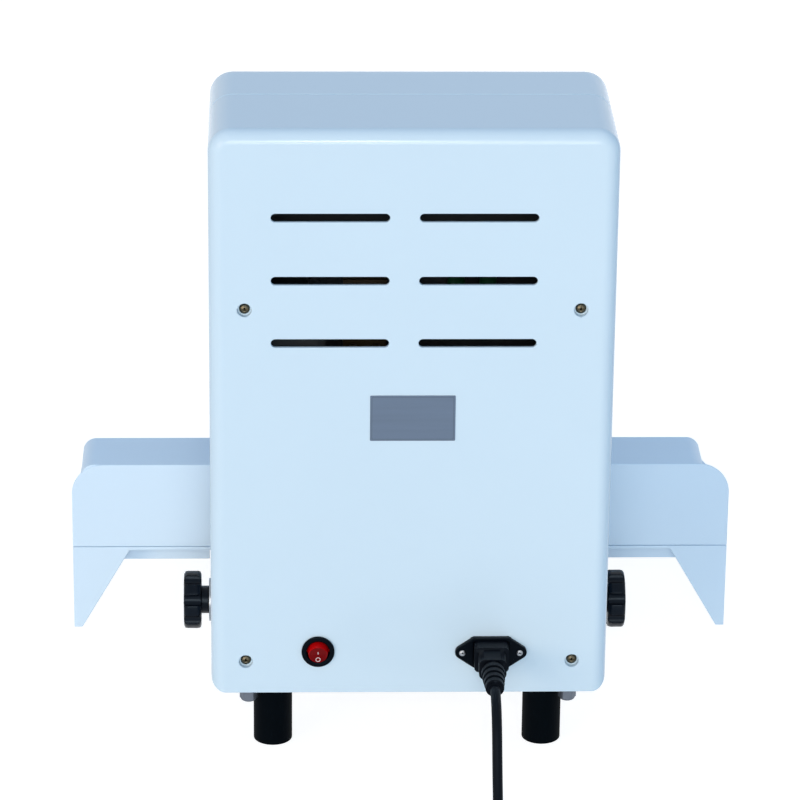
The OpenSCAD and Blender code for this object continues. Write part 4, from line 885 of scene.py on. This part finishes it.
class PAPERDRILL_OT_drill_head(bpy.types.Operator):
    """Dresses the drill head, its feed and the presser foot"""

    bl_idname = "paper_drill.drill_head"
    bl_label = "Drill head"

    def execute(self, context):
        for node, key, edge in (
            ("carriage", "iron", 0.8), ("spindle", "steel", 0.2), ("drill_bit", "steel", 0.0),
            ("presser_foot", "steel", 0.4), ("presser_pins", "steel", 0.3), ("button_bezel", "steel", 0.4),
            ("start_button", "green", 0.3),
        ):
            skin(node, key, edge)
        for node, key in (
            ("upper_rod_bracket", "iron"), ("lower_rod_bracket", "iron"), ("guide_rods", "steel"),
            ("feed_motor", "iron"), ("feed_pinion", "bronze"), ("limit_switches", "nylon"),
            ("rod_bushes", "bronze"), ("spindle_bearings", "steel"), ("feed_rack", "steel"),
            ("motor_plate", "iron"), ("drill_motor", "galvanised"), ("motor_pulley", "steel"),
            ("drive_belt", "belt"), ("spindle_pulley", "steel"),
        ):
            dress(node, key)
        self.springs()
        return {"FINISHED"}

    def springs(self):
        """Two wire springs between the presser foot and the yoke, which ride with the foot."""
        lo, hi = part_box("presser_springs")
        wire = SPRING_WIRE * MM
        radius = (hi.y - lo.y) / 2 - wire
        middle_y = (lo.y + hi.y) / 2
        feet = [(x, middle_y, lo.z + wire) for x in (lo.x + radius + wire, hi.x - radius - wire)]
        tall = hi.z - lo.z - 2 * wire
        springs = grow("presser_spring_wire", feet, spring_tree(), {
            "Coil Radius": radius, "Wire Radius": wire, "Height": tall, "Curls": SPRING_CURLS},
            "steel", "presser")
        smooth(springs, SPRING_SHARP_DEG)
        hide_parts("presser_springs")
        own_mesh(springs)


class PAPERDRILL_OT_electrics(bpy.types.Operator):
    """Dresses the board, its tray and the terminals behind the vents"""

    bl_idname = "paper_drill.electrics"
    bl_label = "Electrics"

    def execute(self, context):
        dress("board_tray", "galvanised")
        dress("control_board", "board")
        dress("terminal_block", "tan")
        return {"FINISHED"}


class PAPERDRILL_OT_stage(bpy.types.Operator):
    """Lays the pale floor and hangs the studio lights"""

    bl_idname = "paper_drill.stage"
    bl_label = "Stage"

    def execute(self, context):
        scene = context.scene
        scene.view_settings.view_transform = "Standard"
        self.world(scene)
        self.floor()
        for name, at, width, level, colour, mirrored in SUNS:
            lamp = bpy.data.lights.new(name, "SUN")
            lamp.angle = math.radians(width)
            lamp.energy = level
            lamp.color = linear(colour)[:3]
            self.hang(lamp, at).visible_glossy = mirrored
        flash = bpy.data.lights.new("flash_softbox", "AREA")
        flash.shape = "SQUARE"
        flash.size = FLASH_SIDE
        flash.energy = FLASH_WATTS
        self.hang(flash, FLASH_AT)
        return {"FINISHED"}

    def hang(self, lamp, at):
        """Puts a lamp at a place and turns it to the machine."""
        obj = link(bpy.data.objects.new(lamp.name, lamp))
        turn = (AIM - Vector(at)).to_track_quat("-Z", "Y").to_matrix().to_4x4()
        obj.matrix_world = Matrix.Translation(at) @ turn
        return obj

    def seen(self, tree):
        """1 where the camera looks, also by way of metal or glass, and 0 elsewhere."""
        ray = add(tree, "ShaderNodeLightPath").outputs
        by_metal = calc(tree, "MAXIMUM", ray["Is Camera Ray"], ray["Is Glossy Ray"])
        return calc(tree, "MAXIMUM", by_metal, ray["Is Transmission Ray"])

    def world(self, scene):
        """A room that is white to the camera and dimmer and bluer to the surfaces."""
        room = bpy.data.worlds.new("plain_room")
        scene.world = room
        room.use_nodes = True
        tree = room.node_tree
        tree.nodes.clear()
        seen = self.seen(tree)
        level = add(tree, "ShaderNodeMapRange", {"Value": seen, "To Min": ROOM_LEVEL, "To Max": 1.0})
        hue = add(tree, "ShaderNodeMix", {0: seen, 6: linear(ROOM_TINT), 7: (1, 1, 1, 1)}, data_type="RGBA")
        back = add(tree, "ShaderNodeBackground", {
            "Color": hue.outputs[2], "Strength": level.outputs["Result"]})
        out = add(tree, "ShaderNodeOutputWorld", {"Surface": back.outputs["Background"]})
        out.is_active_output = True

    def floor(self):
        """A wide floor that is white to the camera but for the machine's shadow."""
        mesh = bpy.data.meshes.new("floor")
        corners = [(x * FLOOR_REACH, y * FLOOR_REACH, FLOOR_Z) for x, y in SQUARE]
        mesh.from_pydata(corners, [], [(0, 1, 2, 3)])
        floor = link(bpy.data.objects.new("floor", mesh))
        made = bpy.data.materials.new("white_studio_floor")
        made.use_nodes = True
        tree = made.node_tree
        tree.nodes.clear()
        plain = add(tree, "ShaderNodeBsdfDiffuse", {"Color": linear(FLOOR_COLOUR)})
        pale = add(tree, "ShaderNodeBsdfDiffuse", {"Color": linear(FLOOR_SHOWN)})
        glow = add(tree, "ShaderNodeEmission", {"Color": (1, 1, 1, 1), "Strength": FLOOR_GLOW})
        shown = add(tree, "ShaderNodeAddShader", {0: pale.outputs[0], 1: glow.outputs[0]})
        mix = add(tree, "ShaderNodeMixShader", {
            0: self.seen(tree), 1: plain.outputs[0], 2: shown.outputs[0]})
        add(tree, "ShaderNodeOutputMaterial", {"Surface": mix.outputs[0]})
        mesh.materials.append(made)


OPERATORS = (
    PAPERDRILL_OT_camera, PAPERDRILL_OT_cord, PAPERDRILL_OT_covers, PAPERDRILL_OT_plate,
    PAPERDRILL_OT_rear_fittings, PAPERDRILL_OT_base, PAPERDRILL_OT_table, PAPERDRILL_OT_knobs,
    PAPERDRILL_OT_drill_head, PAPERDRILL_OT_electrics, PAPERDRILL_OT_stage,
)


class PAPERDRILL_PT_panel(bpy.types.Panel):
    """Lists the steps and the settings of the paper drill"""

    bl_idname = "PAPERDRILL_PT_panel"
    bl_label = "Paper drill"
    bl_space_type = "VIEW_3D"
    bl_region_type = "UI"
    bl_category = "Paper drill"

    def draw(self, context):
        for name in PaperDrillSettings.__annotations__:
            self.layout.prop(context.scene.paper_drill, name)
        for operator in OPERATORS:
            self.layout.operator(operator.bl_idname)


CLASSES = (PaperDrillSettings, *OPERATORS, PAPERDRILL_PT_panel)


def register():
    """Makes the settings, the steps and the panel known to Blender."""
    for cls in CLASSES:
        bpy.utils.register_class(cls)
    bpy.types.Scene.paper_drill = PointerProperty(type=PaperDrillSettings)


def unregister():
    """Takes them away again."""
    del bpy.types.Scene.paper_drill
    for cls in reversed(CLASSES):
        bpy.utils.unregister_class(cls)


def main():
    """Builds the scene step by step."""
    register()
    steps = bpy.ops.paper_drill
    steps.camera()
    steps.cord()
    steps.covers()
    steps.plate()
    steps.rear_fittings()
    steps.base()
    steps.table()
    steps.knobs()
    steps.drill_head()
    steps.electrics()
    steps.stage()


if __name__ == "__main__":
    main()
